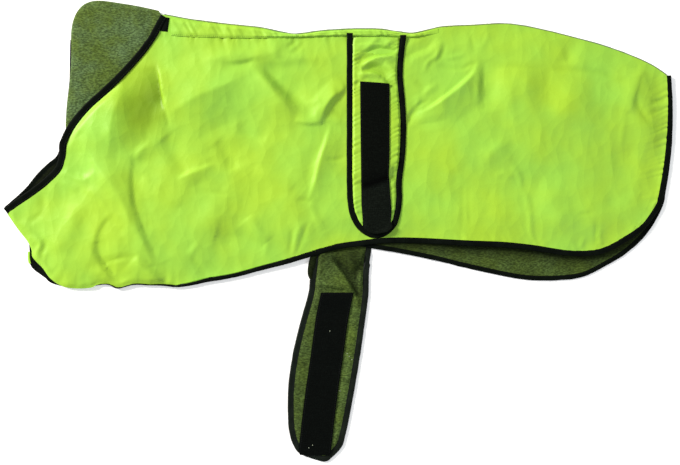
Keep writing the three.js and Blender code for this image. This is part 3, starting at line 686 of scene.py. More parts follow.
# ---- Materials ----
class Nodes:
    """A small helper that adds and joins shader nodes."""

    def __init__(self, name):
        self.material = bpy.data.materials.new(name)
        self.material.use_nodes = True
        self.tree = self.material.node_tree
        self.shader = self.tree.nodes["Principled BSDF"]

    def plug(self, node, values):
        """Joins other nodes' outputs to a node's sockets, or sets the sockets' own values."""
        for key, value in values.items():
            if isinstance(value, bpy.types.NodeSocket):
                self.tree.links.new(value, node.inputs[key])
            elif value is not None:
                node.inputs[key].default_value = value

    def add(self, kind, values=None, **settings):
        node = self.tree.nodes.new("ShaderNode" + kind)
        for key, value in settings.items():
            setattr(node, key, value)
        self.plug(node, values or {})
        return node

    def math(self, operation, a, b=0.0):
        return self.add("Math", {0: a, 1: b}, operation=operation).outputs[0]

    def vector(self, operation, values):
        return self.add("VectorMath", values, operation=operation).outputs[0]

    def mix(self, share, a, b, blend="MIX"):
        values = {0: share, 6: a, 7: b}
        return self.add("Mix", values, data_type="RGBA", blend_type=blend).outputs[2]

    def spread(self, value, low, high, new_low=0.0, new_high=1.0):
        values = {0: value, 1: low, 2: high, 3: new_low, 4: new_high}
        return self.add("MapRange", values, interpolation_type="SMOOTHSTEP").outputs[0]

    def cloth(self):
        return self.add("UVMap", uv_map="Cloth").outputs[0]

    def place(self):
        return self.add("TexCoord").outputs["Object"]

    def scaled(self, vector, x, y, z=1.0):
        return self.add("Mapping", {"Vector": vector, "Scale": (x, y, z)}).outputs[0]

    def noise(self, vector, scale, detail=2.0, roughness=0.5, output="Fac"):
        values = {"Vector": vector, "Scale": scale, "Detail": detail, "Roughness": roughness}
        return self.add("TexNoise", values).outputs[output]

    def shaded(self, colour, bounce=1.0):
        """A colour darkened by painted shade from the piece's Tone attribute, where it lies deep in a fold.

        The painted shade takes out more blue, as light deep in a fold has met the cloth more than once.
        """
        shade = self.add("Attribute", attribute_name="Tone").outputs["Fac"]
        blue = self.math("POWER", shade, bounce)
        light = self.add("CombineColor", {0: shade, 1: shade, 2: blue}).outputs[0]
        return self.mix(1.0, colour, light, "MULTIPLY")

    def warped(self, vector, scale, reach):
        """The same places, shifted a little by a soft noise, so that rows run unevenly."""
        drift = self.noise(vector, scale, 1.0, output="Color")
        middle = self.vector("SUBTRACT", {0: drift, 1: (0.5, 0.5, 0.5)})
        return self.vector("ADD", {0: vector, 1: self.vector("SCALE", {0: middle, 3: reach})})

    def facets(self, vector, scale):
        """Flat facets that meet in crisp lines, as in crumpled cloth."""
        bent = self.scaled(self.warped(vector, scale / 3, 0.9 / scale), 1.0, 0.7, 0.0)
        return self.add("TexVoronoi", {"Vector": bent, "Scale": scale}).outputs["Distance"]

    def bumps(self, *layers):
        """Bumps laid over each other, each as (height, strength, distance in metres)."""
        normal = None
        for height, strength, distance in layers:
            values = {"Height": height, "Strength": strength, "Distance": distance, "Normal": normal}
            normal = self.add("Bump", values).outputs[0]
        return normal

    def surface(self, colour, rough, normal=None, gloss=0.5, **values):
        """The finished material, from its main values and any other values of the shader."""
        main = {"Base Color": colour, "Roughness": rough, "Normal": normal, "Specular IOR Level": gloss}
        self.plug(self.shader, main | {key.replace("_", " "): values[key] for key in values})
        return self.material


def paint(colour, share=1.0):
    """A colour for a shader, brightened or darkened by a share."""
    return (*(channel * share for channel in colour), 1.0)


def weave(make, vector, yarn):
    """A plain weave: height of warp and weft yarns that cross at every step."""
    split = make.add("SeparateXYZ", {0: vector})
    turns = [make.math("MULTIPLY", split.outputs[axis], math.pi / yarn) for axis in (0, 1)]
    warp, weft = (make.math("SINE", turn) for turn in turns)
    over = make.math("MULTIPLY", warp, weft)
    return make.math("ADD", make.math("MULTIPLY", over, 0.5), 0.5)


def nylon_material(name, colour):
    """Fluorescent coated nylon: a fine plain weave, lightly crumpled, with a satin face."""
    make = Nodes(name)
    cloth, place = make.cloth(), make.place()
    red, green, blue = colour
    greener = (red * 0.9, green, blue * 1.35, 1)
    yellower = (red * 1.1, green * 0.98, blue * 0.68, 1)
    tint = make.noise(place, 7.0, 3.0, 0.55)
    body = make.mix(make.spread(tint, 0.3, 0.7), greener, yellower)
    grain = make.noise(cloth, 900.0, 2.0, 0.6)
    body = make.mix(make.spread(grain, 0.3, 0.7, 0.0, 0.16), body, paint(colour, 0.8))
    normal = make.bumps(
        (make.noise(place, 14.0, 3.0), 0.25, 0.005),
        (make.facets(place, 19.0), 0.44, 0.005),
        (make.facets(place, 52.0), 0.46, 0.0022),
        (make.noise(place, 95.0, 4.0, 0.55), 0.5, 0.0006),
        (weave(make, cloth, 0.00055), 0.25, 0.00008),
    )
    sheen = {"Sheen_Weight": 0.03, "Sheen_Roughness": 0.5, "Sheen_Tint": (0.85, 1.0, 0.6, 1.0)}
    rough = make.spread(tint, 0.3, 0.7, 0.46, 0.54)
    return make.surface(make.shaded(body, 2.2), rough, normal, 0.25, **sheen)


def mesh_material(name, yarn, backing):
    """Dark knitted mesh in fine rows, with the shell showing through its holes in patches."""
    make = Nodes(name)
    place = make.place()
    rows = make.noise(make.scaled(make.warped(place, 16.0, 0.012), 0.4, 1.0), 620.0, 2.0, 0.65)
    olive = make.spread(make.noise(place, 24.0, 4.0, 0.65), 0.3, 0.7)
    knit = make.mix(olive, paint(yarn), paint(backing))
    deep = make.mix(olive, paint(yarn, 0.32), paint(backing, 0.42))
    body = make.shaded(make.mix(make.spread(rows, 0.36, 0.68), deep, knit))
    normal = make.bumps((make.noise(place, 60.0, 3.0), 0.5, 0.002), (rows, 0.6, 0.0007))
    return make.surface(body, 0.7, normal, 0.06)


def tape_material(name, colour, rough, gloss):
    """Black woven edge tape with fine ribs across it."""
    make = Nodes(name)
    rib = 0.0008  # from one rib to the next, in metres
    place = make.place()
    along = make.add("SeparateXYZ", {0: make.cloth()}).outputs[0]
    ribs = make.math("SINE", make.math("MULTIPLY", along, 2 * math.pi / rib))
    wear = make.noise(place, 45.0, 4.0, 0.6)
    body = make.mix(make.spread(wear, 0.35, 0.7), paint(colour, 0.75), paint(colour, 1.35))
    normal = make.bumps((ribs, 0.35, 0.00012), (make.noise(place, 700.0), 0.3, 0.0002))
    sheen = {"Sheen_Weight": 0.003, "Sheen_Roughness": 0.35, "Sheen_Tint": (0.75, 0.82, 1.0, 1.0)}
    uneven_rough = make.spread(wear, 0.3, 0.7, rough - 0.06, rough + 0.06)
    return make.surface(body, uneven_rough, normal, gloss, **sheen)


def pile_material(name, colour, scale, gloss):
    """Hook or loop tape: black, matt, with a fine pile in close rows."""
    make = Nodes(name)
    place = make.place()
    pile = make.noise(place, scale, 4.0, 0.7)
    rows = make.noise(make.scaled(place, 0.12, 1.0), 700.0, 1.0)
    body = make.mix(make.spread(pile, 0.35, 0.7), paint(colour, 0.5), paint(colour, 1.7))
    body = make.mix(make.spread(rows, 0.4, 0.7, 0.0, 0.6), body, paint(colour, 0.6))
    normal = make.bumps((pile, 0.8, 0.0008), (rows, 0.6, 0.0004))
    return make.surface(make.shaded(body), 0.75, normal, gloss)


def thread_material(name, colour, rough, gloss=0.4):
    """Sewing thread or fluff: twisted, with a soft gleam."""
    make = Nodes(name)
    twist = make.noise(make.place(), 2400.0, 1.0)
    body = make.mix(twist, paint(colour, 0.8), paint(colour, 1.2))
    return make.surface(body, rough, make.bumps((twist, 0.4, 0.0001)), gloss)


# Each finish: how it is made, its colour in the sidebar and that colour's share, and the rest.
FINISHES = {
    "shell_nylon": (nylon_material, "nylon", 1),
    "seam_nylon": (nylon_material, "seam", 1),
    "collar_knit": (mesh_material, "mesh", 1),
    "lining_knit": (mesh_material, "lining", 1),
    "black_tape": (tape_material, "tape", 1, 0.5, 0.035),
    # The belly strap's tape takes 2.2 times the tape colour, a painted sheen, on top of its raised gloss.
    "glossy_tape": (tape_material, "tape", 2.2, 0.4, 0.13),
    "hook_pile": (pile_material, "hook", 1, 500.0, 0.035),
    "loop_pile": (pile_material, "loop", 1, 700.0, 0.045),
    "black_thread": (thread_material, "thread", 1, 0.6, 0.12),
    # The band's stitch colour, a third of the nylon's, partly paints the shadows of the ruffles below the
    # band's edge.
    "olive_thread": (thread_material, "nylon", 0.3, 0.5),
    "lint": (thread_material, "lint", 1, 0.8),
}


def material(name):
    """Each finish is made once, from the colours in the sidebar."""
    if name in bpy.data.materials:
        return bpy.data.materials[name]
    maker, key, share, *rest = FINISHES[name]
    colours = bpy.context.scene.raincoat_colours
    if maker is mesh_material:
        rest = [colours.mesh_backing]
    return maker(name, [share * channel for channel in getattr(colours, key)], *rest)


# ---- Properties ----
def length_setting(name, description, default):
    return FloatProperty(name=name, description=description, default=default, unit="LENGTH")


def colour_setting(name, description, default):
    return FloatVectorProperty(
        name=name, description=description, default=default, subtype="COLOR", min=0, max=1
    )


class RaincoatSizes(bpy.types.PropertyGroup):
    """Sizes of the cloth, tape and thread"""

    cell: length_setting("Cloth cell", "Spacing of the near panel's points", 0.0031)
    cloth: length_setting("Cloth", "Thickness of the nylon with its backing", 0.0008)
    air: length_setting("Air", "How far the near half puffs up over the far one", 0.0036)
    stitch: length_setting("Stitch", "Length of one stitch with its gap", 0.0031)
    thread: length_setting("Thread", "Thickness of the sewing thread", 0.00055)


class RaincoatColours(bpy.types.PropertyGroup):
    """Colours of the cloth, tape and thread"""

    nylon: colour_setting("Nylon", "Fluorescent yellow-green shell", (0.36, 0.66, 0.05))
    # Both are the one knitted lining: the mesh's greyer yarn partly paints its glint on the collar, and the
    # lining's darker yarn partly paints the shade it lies in.
    mesh: colour_setting("Mesh", "Grey-green yarn of the knitted lining", (0.145, 0.235, 0.09))
    lining: colour_setting("Lining", "Yarn of the lining inside the coat and the strap", (0.125, 0.2, 0.05))
    mesh_backing: colour_setting("Mesh backing", "Olive of the shell behind the yarn", (0.12, 0.185, 0.032))
    tape: colour_setting("Edge tape", "Black tape round every edge", (0.0026, 0.0042, 0.0026))
    hook: colour_setting("Hook tape", "Hook side of the fastening", (0.0022, 0.0032, 0.0022))
    loop: colour_setting("Loop tape", "Loop side of the fastening", (0.0018, 0.0028, 0.0022))
    # The back seam's dark olive partly paints the shade under the rolled fold along the back.
    seam: colour_setting("Back seam", "Rolled seam along the back", (0.14, 0.2, 0.08))
    thread: colour_setting("Thread", "Black sewing thread", (0.006, 0.0066, 0.008))
    lint: colour_setting("Lint", "Bits of fluff on the tape", (0.5, 0.56, 0.4))


# ---- Near panel ----
CHEST_END = -236  # in front of this the hem is rolled under, in small scallops
CHEST_EDGE = (
    (-496, 26), (-481, 4), (-467, -14), (-460, -28), (-459, -38), (-452, -47), (-443, -56), (-433, -70),
    (-421, -79), (-408, -84), (-390, -85.5), (-370, -84), (-363, -80), (-350, -78.5), (-341, -81),
    (-330, -84), (-318, -81), (-306, -78.5), (-285, -80), (-262, -79.5), (-246, -81),
)


def hem_float(x, y):
    """The near hem stands off the far one towards the tail."""
    along = ease((x - 110) / 90) * (1 - ease((x - 440) / 60))
    return 4.0 * along * (1 - ease((y + 20) / 90))


def near_height(edges):
    """Height of the near panel's upper side."""
    hem, back, _, tail = edges
    neck = smooth_line(tape_line("near_neck_binding"), 6)
    frame_top = top_of("near_shell")
    rest_top = top_of("far_lining", missed=2.3)
    roll, blend = 7, 16  # the rolled chest hem's radius, and how far back it takes to flatten

    def height(x, y, u, v):
        hem_gap, tail_gap, back_gap = (gap_from(line, x, y) for line in (hem, tail, back))
        neck_gap = np.maximum(-from_line(neck, x, y)[0], 0)
        # Air fills the middle of the coat, and stitching holds its edges flat.
        puff = ease(hem_gap / 45) * ease(tail_gap / 35) * ease(back_gap / 38) * ease(neck_gap / 80)
        lying = settled(frame_top, x, y, u, v, 5) + size("air") * puff
        # The folds fade out at the edges and under the strap.
        calm = ease(hem_gap / np.where(x < -425, 3.5, 9)) * ease(tail_gap / 6)
        calm *= ease(back_gap / 7) * ease((neck_gap - 3) / 12)
        under_strap = ease((x - 5) / 14) * (1 - ease((x - 95) / 14))
        relief = fold_relief(NEAR_FOLDS, x, y) * calm * (1 - under_strap)
        # Each row of stitches draws the cloth into puckers, which are highest behind the strap.
        wrinkled = 0.5 + 0.8 * ease((x - 80) / 60)
        sewn = puckers(hem, x, y, 1.5, 10, 9, 0.6) * ease((x - CHEST_END) / 30) * wrinkled
        sewn += puckers(tail, x, y, 2.2, 10, 11, 0.5)
        sewn += puckers(BAND_STITCHES, x, y, 1.5, 17, 15, 0.3)
        sewn += puckers(BAND_STITCHES, x, y, 2.0, 9, 4)
        sewn += puckers(neck, x, y, 0.6, 14, 9) * (neck_gap > 0)
        sewn += puckers(hem, x, y, 2.0, 26, 16) * (1 - ease((x - CHEST_END + 10) / 25))
        # The panel rests on the lining and never dips into it.
        rest = soften(rest_top(x, y), u, v, 3) + 1.5
        over = lying + relief + sewn * ease(hem_gap / 3) + hem_float(x, y) - rest
        z = rest + (over + np.sqrt(over**2 + 1)) / 2
        # The chest hem rolls down and under.
        rolled = 1 - ease((x - CHEST_END + blend) / blend)
        round_off = np.sqrt(1 - (1 - np.clip(hem_gap / roll, 0, 1)) ** 2)
        z += rolled * (rest - 0.6 - z) * (1 - round_off)
        return np.minimum(z, HIGHEST)

    return height


HOLLOW = (-277, 196)  # the middle of the hollow behind the shoulder, which runs up to the right


def near_painted_shade(x, y):
    """Painted shade where less light reaches: the creases, the deep hollow behind the shoulder and the dips
    between the puckers under the back band.
    """
    creases = [fold for fold in NEAR_FOLDS if fold[0] < 0 and max(fold[1:3]) < 7]
    depth = -fold_relief(creases, x, y)
    right, up = x - HOLLOW[0], y - HOLLOW[1]
    along, across = 0.66 * right + 0.75 * up, 0.75 * right - 0.66 * up
    hollow = np.exp(-np.abs(along / 58) ** 3 - (across / np.where(across > 0, 26, 36)) ** 2)
    inside = ease((from_line(SHOULDER_CREASE, x, y)[0] + 1) / 4)
    dips = 0.3 * pinches(BAND_STITCHES, x, y, 9, 5) + 0.25 * pinches(BAND_STITCHES, x, y, 17, 12, 0.3)
    return 1 - np.clip(0.06 * depth, 0, 0.2) - 0.54 * hollow * inside - dips


class RAINCOAT_OT_near_panel(bpy.types.Operator):
    """Lay the near half of the shell, with its folds and puckers"""

    bl_idname = "raincoat.near_panel"
    bl_label = "Near Panel"

    def execute(self, context):
        hem, back, throat, tail = half_edges("near_shell")
        hem = np.vstack([CHEST_EDGE, hem[hem[:, 0] > CHEST_END]])
        throat[0] = hem[0]
        edges = [smooth_line(edge, 2) for edge in (hem, back, throat, tail)]
        panel = lay_sheet("near_panel", edges, size("cell"), near_height(edges), near_painted_shade)
        finish_piece(panel, "shell_nylon", "nylon", "near_shell")
        return {"FINISHED"}


# ---- Far half ----
def far_painted_shade(x, y):
    """Painted shade: the lining gets darker in towards the near hem, in the shadow of that hem, and nearly
    black at the throat, deep inside the coat, with some uneven blotches.
    """
    shown = -from_line(evenly(tape_line("near_hem_binding"), 8), x, y)[0]
    blotch = 0.12 * uneven(x + 0.5 * y, 53) + 0.08 * uneven(x - y, 21, 1)
    return np.where(x < -300, 0.06, 0.13 + (0.58 + blotch) * ease((shown - 1) / 26))


class RAINCOAT_OT_far_half(bpy.types.Operator):
    """Lay the far half of the shell and the mesh lining on it"""

    bl_idname = "raincoat.far_half"
    bl_label = "Far Half"

    def execute(self, context):
        shell_solid, lining_solid = top_of("far_shell"), top_of("far_lining")

        def shell_height(x, y, u, v):
            return settled(shell_solid, x, y, u, v, 3)

        edges = [smooth_line(edge, 3) for edge in half_edges("far_shell")]
        panel = lay_sheet("far_panel", edges, 7, shell_height)
        finish_piece(panel, "shell_nylon", "nylon", "far_shell")

        shell_top = top_of("far_panel", missed=0.8)
        edges = [smooth_line(edge, 3) for edge in half_edges("far_lining")]

        def lining_height(x, y, u, v):
            calm = ease(gap_from(edges[0], x, y) / 4)
            relief = 1.6 * fold_relief(FAR_FOLDS, x, y) + puckers(edges[0], x, y, 1.0, 11, 10)
            lying = settled(lining_solid, x, y, u, v, 3) + relief * calm
            return np.maximum(lying, shell_top(x, y) + size("cloth") + 0.25)

        mesh = lay_sheet("far_mesh", edges, 4.2, lining_height, far_painted_shade)
        finish_piece(mesh, "lining_knit", "mesh_lining", "far_lining")
        return {"FINISHED"}


# ---- Collar ----
def collar_edges(node):
    """The collar's free edge and its fold line, both from the throat to the nape."""
    line = rim(node)
    fold_start, tip = corner(line, (-1, -1)), corner(line, (0.6, -1))
    free_end, fold_end = corner(line, (1, -0.2)), corner(line, (1, 1.2))
    free = stretch(line, tip, free_end)
    fold = stretch(line, fold_end, fold_start)[::-1]
    return free, fold


# A thin dark strip along the collar's fold, laid as painted shade where the fold turns under.
COLLAR_FOLD_SHADE = ((-408.3, 139), (-407.4, 157), (-405.4, 195), (-402.4, 228), (-401.8, 262), (-401.2, 287))


class RAINCOAT_OT_collar(bpy.types.Operator):
    """Lay the turned-down collar, with its mesh side out, and the collar under it"""

    bl_idname = "raincoat.collar"
    bl_label = "Collar"

    def execute(self, context):
        roll = 4.5  # how far in from the fold the collar turns down
        meeting = 3.3  # height at which both collars meet along the fold
        for name, node, cell, flat, crown in (
            ("collar_mesh", "near_collar", 2.6, 6.3, 1),
            ("far_collar_mesh", "far_collar", 5, size("cloth"), 0),
        ):
            free, fold = collar_edges(node)
            free = smooth_line(np.vstack([(-402.5, 139), free]), 3)
            fold = smooth_line(np.vstack([(-407, 139), fold]), 3)
            fold[:, 0] += 1.7 * ease((300 - fold[:, 1]) / 30)  # the painted-shade strip shows beside the fold

            def height(x, y, u, v, free=free, fold=fold, flat=flat, crown=crown):
                gap = gap_from(fold, x, y)
                down = 1 - np.sqrt(1 - (1 - np.clip(gap / roll, 0, 1)) ** 2)
                waves = 0.5 * uneven(x + 0.4 * y, 61) + 0.35 * uneven(y - 0.5 * x, 43, 1)
                calm = ease(gap / 14) * ease(gap_from(free, x, y) / 8)
                lying = flat + (0.9 + waves * 1.3) * calm * crown
                return lying + (meeting - lying + 0.4 * crown) * down

            sheet = lay_sheet(name, (free, fold), cell, height)
            edit_all(sheet)
            finish_piece(sheet, "collar_knit", "mesh_lining", node)
        fold_shade_strip = lay_tape("collar_cord", COLLAR_FOLD_SHADE, 1.6, level(1.2, 3.4), False, ROLLED_SEAM, 0)
        finish_piece(fold_shade_strip, "black_tape", "edge_tape")
        return {"FINISHED"}


# ---- Edge tapes ----
def rolling_mean(values, reach):
    """Each value becomes the mean of those up to that many places away."""
    weights = np.ones(2 * reach + 1) / (2 * reach + 1)
    return np.convolve(np.pad(values, reach, mode="edge"), weights, "valid")


def cad_span(node, lift):
    """Lowest and highest side of a tape, from its own CAD solid, raised by lift(x, y)."""
    top = top_of(node)

    def span(x, y):
        tops = top(x, y)
        known = np.flatnonzero(tops)
        tops = rolling_mean(np.interp(np.arange(len(x)), known, tops[known]), 4)
        if lift:
            tops += lift(x, y)
        return np.maximum(tops - TAPE_THICK, LOWEST), tops

    return span


# The near hem tape comes out from under the rolled chest, and the far one is twisted at the throat.
CHEST_TAPE = (
    (-356, -79.5), (-342, -81), (-330, -86), (-306, -80.5), (-285, -81), (-262, -81.5), (-240, -83),
)
THROAT_TAPE = (
    (-463, -12), (-460, -25), (-458, -37), (-457, -48), (-452.5, -55), (-446, -60.5), (-437.5, -68),
    (-427, -76),
)
THROAT_TURNUP = ((-464.5, -31), (-464.8, -40), (-463, -49))  # a little of the far shell turns up here


def hem_tape_width(along):
    """Thin where it comes out from the rolled chest, full by the strap, narrower at the tail."""
    full = 5.4 * ease((along - 60) / 150) + 0.8 * ease((along - 250) / 80)
    return 1 + full - 2 * ease((along - along[-1] + 60) / 60)


def under_chest(x, y):
    """The chest tape lies a little lower than its solid, so it stays below the near panel."""
    return np.full(len(x), -0.6)


def far_tape_width(along):
    """A little narrower at the throat and the tail than along the hem."""
    twist = np.exp(-(((along - 36) / 22) ** 2))
    return 5 + 7 * twist + 2 * ease((along - 40) / 60) - 1.5 * ease((along - along[-1] + 80) / 80)


class RAINCOAT_OT_edge_tapes(bpy.types.Operator):
    """Fold the black tape over the hems and the neck, and turn the far shell up at the throat"""

    bl_idname = "raincoat.edge_tapes"
    bl_label = "Edge Tapes"

    def execute(self, context):
        for name, node, width, coat_on_left, lift, start, start_end in (
            ("near_hem_tape", "near_hem_binding", hem_tape_width, True, hem_float, CHEST_TAPE, -215),
            ("far_hem_tape", "far_hem_binding", far_tape_width, True, None, THROAT_TAPE, -415),
            ("chest_tape", "chest_binding", 8, True, under_chest, (), None),
            ("near_neck_tape", "near_neck_binding", 9.4, False, None, (), None),
            ("far_neck_tape", "far_neck_binding", 7, False, None, (), None),
        ):
            line = tape_line(node)
            if start:
                line = np.vstack([start, line[line[:, 0] > start_end]])
            tape = lay_tape(name, line, width, cad_span(node, lift), coat_on_left)
            finish_piece(tape, "black_tape", "edge_tape", node)
        turnup = lay_tape("throat_turnup", THROAT_TURNUP, 3, level(0.2, 3), True, ROLLED_SEAM, 0.5, 1.5)
        finish_piece(turnup, "shell_nylon", "nylon")
        return {"FINISHED"}


# ---- Back seam and band ----
class RAINCOAT_OT_back_seam(bpy.types.Operator):
    """Roll the seam along the back, and lay the band and its black end beside it"""

    bl_idname = "raincoat.back_seam"
    bl_label = "Back Seam and Band"

    def execute(self, context):
        near_top = top_of("near_panel", missed=4)
        line = tape_line("spine_roll")
        inward = 1.4  # how far inside the seam the near panel's height is read
        thinnest = 3.9  # the seam is at least this thick

        def span(x, y):
            sides = beside(np.column_stack([x, y]))
            high = near_top(x + inward * sides[:, 0], y - inward * np.abs(sides[:, 1]))
            return np.full(len(x), LOWEST), np.maximum(high + 0.15, thinnest)

        # Its dark olive finish partly paints the shade under the rolled fold.
        seam = lay_tape("back_seam", line, 1.9, span, False, ROLLED_SEAM, 0.8)
        finish_piece(seam, "seam_nylon", "seam", "spine_roll")

        outline = rim("back_band")
        ends = [corner(outline, way) for way in ((-2, 1), (-2, -1), (2, -1), (2, 1))]
        upper = smooth_line(stretch(outline, ends[3], ends[0])[::-1], 3)
        lower = smooth_line(stretch(outline, ends[1], ends[2]), 3)

        def height(x, y, u, v):
            lying = soften(np.maximum(near_top(x, y), 4.0), u, v, 1.5)
            gathers = 0.7 * uneven(x + 0.6 * y, 13) + 0.45 * uneven(x, 31, 2)
            ruffle = 0.45 * uneven(x, 8.5, 1) * (1 - ease(v * 20 / 5))
            swell = (1.6 + 1.3 * gathers) * from_sides(v, 20, 5) + ruffle + 1
            return lying + 0.8 + swell * ease((1 - u) * 400 / 30)  # flat at its rear end

        band = lay_sheet("back_band_cloth", (lower, upper), 2.2, height)
        finish_piece(band, "shell_nylon", "nylon", "back_band")

        tab_line = ((-260.6, 299), (-259.4, 310), (-258.4, 320))
        tab_top = top_of("near_panel", missed=5)

        def tab_span(x, y):
            low = tab_top(x, y) + 0.2
            return low, low + 1.4

        tab = lay_tape("band_tab", tab_line, 11.5, tab_span, True, overlap=0)
        finish_piece(tab, "black_tape", "edge_tape", "band_end")
        return {"FINISHED"}


# ---- Strap on the near half ----
def kink(x, y):
    """The tape's upper part stands a little higher than what lies beyond its fold."""
    away = from_line(smooth_line(STRAP_KINK, 4), np.clip(x, 33, 78), y)[0]
    return 2.6 * ease((away + 1) / 11) * np.exp(-np.clip(away, 0, None) / 120)


# Each long side of the strap, and the width of the puckers that its edge tape draws there.
STRAP_SIDES = (((20, -5), (20, 285)), 8), (((93, -5), (94, 285)), 7.5)


def strap_painted_shade(x, y):
    """Painted shade where less light reaches: the puckers beside the strap's edge tape, and its pressed
    creases.
    """
    creases = [fold for fold in STRAP_FOLDS if fold[0] < 0]
    dips = sum(pinches(line, x, y, wave, 9, 0.5) for line, wave in STRAP_SIDES)
    return 1 - 0.6 * dips - np.clip(0.1 * -fold_relief(creases, x, y), 0, 0.25)


def strap_height():
    """Height of the strap's upper side, which follows the near panel below it."""
    near_top = top_of("near_panel", missed=4)

    def height(x, y, u, v):
        lying = soften(near_top(x, y), u, v, 2)
        sewn = sum(puckers(line, x, y, 3.6, wave, 9, 0.5) for line, wave in STRAP_SIDES)
        relief = 2.6 * fold_relief(STRAP_FOLDS, x, y) + 2.2 + sewn + kink(x, y)
        return lying + 1.2 + np.maximum(relief, 0) * from_sides(v, 75, 4)

    return height


class RAINCOAT_OT_near_strap(bpy.types.Operator):
    """Lay the girth strap on the near half, with its edge tape and hook tape"""

    bl_idname = "raincoat.near_strap"
    bl_label = "Near Strap"

    def execute(self, context):
        sides = [smooth_line(edge, 2) for edge in strap_edges("near_strap_cloth")]
        cloth = lay_sheet("strap_cloth", sides, 1.7, strap_height(), strap_painted_shade)
        finish_piece(cloth, "shell_nylon", "nylon", "near_strap_cloth")

        below = top_of("near_panel", "back_band_cloth", missed=4)

        def span(x, y):
            low = rolling_mean(below(x, y) + 0.3, 6)
            return low, low + 2.3

        tape = lay_tape("strap_tape", tape_line("near_strap_binding"), 7.8, span, True)
        finish_piece(tape, "black_tape", "edge_tape", "near_strap_binding")

        on_cloth = top_of("strap_cloth")
        front, rear = strap_edges("hook_tape")
        front = evenly(np.vstack([front[front[:, 1] > 14], ((37, 5), (47, -1.5), (60, -4))]), 2)
        rear = evenly(np.vstack([rear[rear[:, 1] > 14], ((82, 6), (73, -1.5), (60, -4))]), 2)

        def hook_tone(x, y):
            """Painted shade along the kink's fold, and lighter below it."""
            away = from_line(STRAP_KINK, np.clip(x, 33, 78), y)[0]
            fold = np.exp(-(((away + 2) / 4.5) ** 2))
            return (1 + 1.3 * ease(-(away + 4) / 8)) * (1 - 0.8 * fold)

        def hook_height(x, y, u, v):
            """The tape bows up a little between its sides."""
            return settled(on_cloth, x, y, u, v, 3) + 1.3 + 0.5 * from_sides(v, 44, 6)

        hooks = lay_sheet("hook_tape_pad", (front, rear), 2.0, hook_height, hook_tone, 1.1)
        apply_modifier(hooks, "BEVEL", width=0.3 * MM, segments=2, limit_method="ANGLE")
        finish_piece(hooks, "hook_pile", "hook_tape", "hook_tape")
        return {"FINISHED"}


# ---- Belly strap ----
def loop_sides():
    """Both long edges of the loop tape, downwards."""
    line = rim("loop_tape")
    ends = [corner(line, way) for way in ((-1, 3), (-1, -3), (1, -3), (1, 3))]
    return stretch(line, ends[0], ends[1]), stretch(line, ends[2], ends[3])[::-1]


# Beside the strap, below the hem, the lining bunches out along this line.
MESH_FOLD = ((-31, -26), (-36, -38), (-39, -52), (-41, -64), (-40, -71))


def fold_width(along):
    """Widest in the middle of the fold."""
    return 3 + 7.5 * np.sin(math.pi * np.clip(along / 48, 0, 1)) ** 0.7


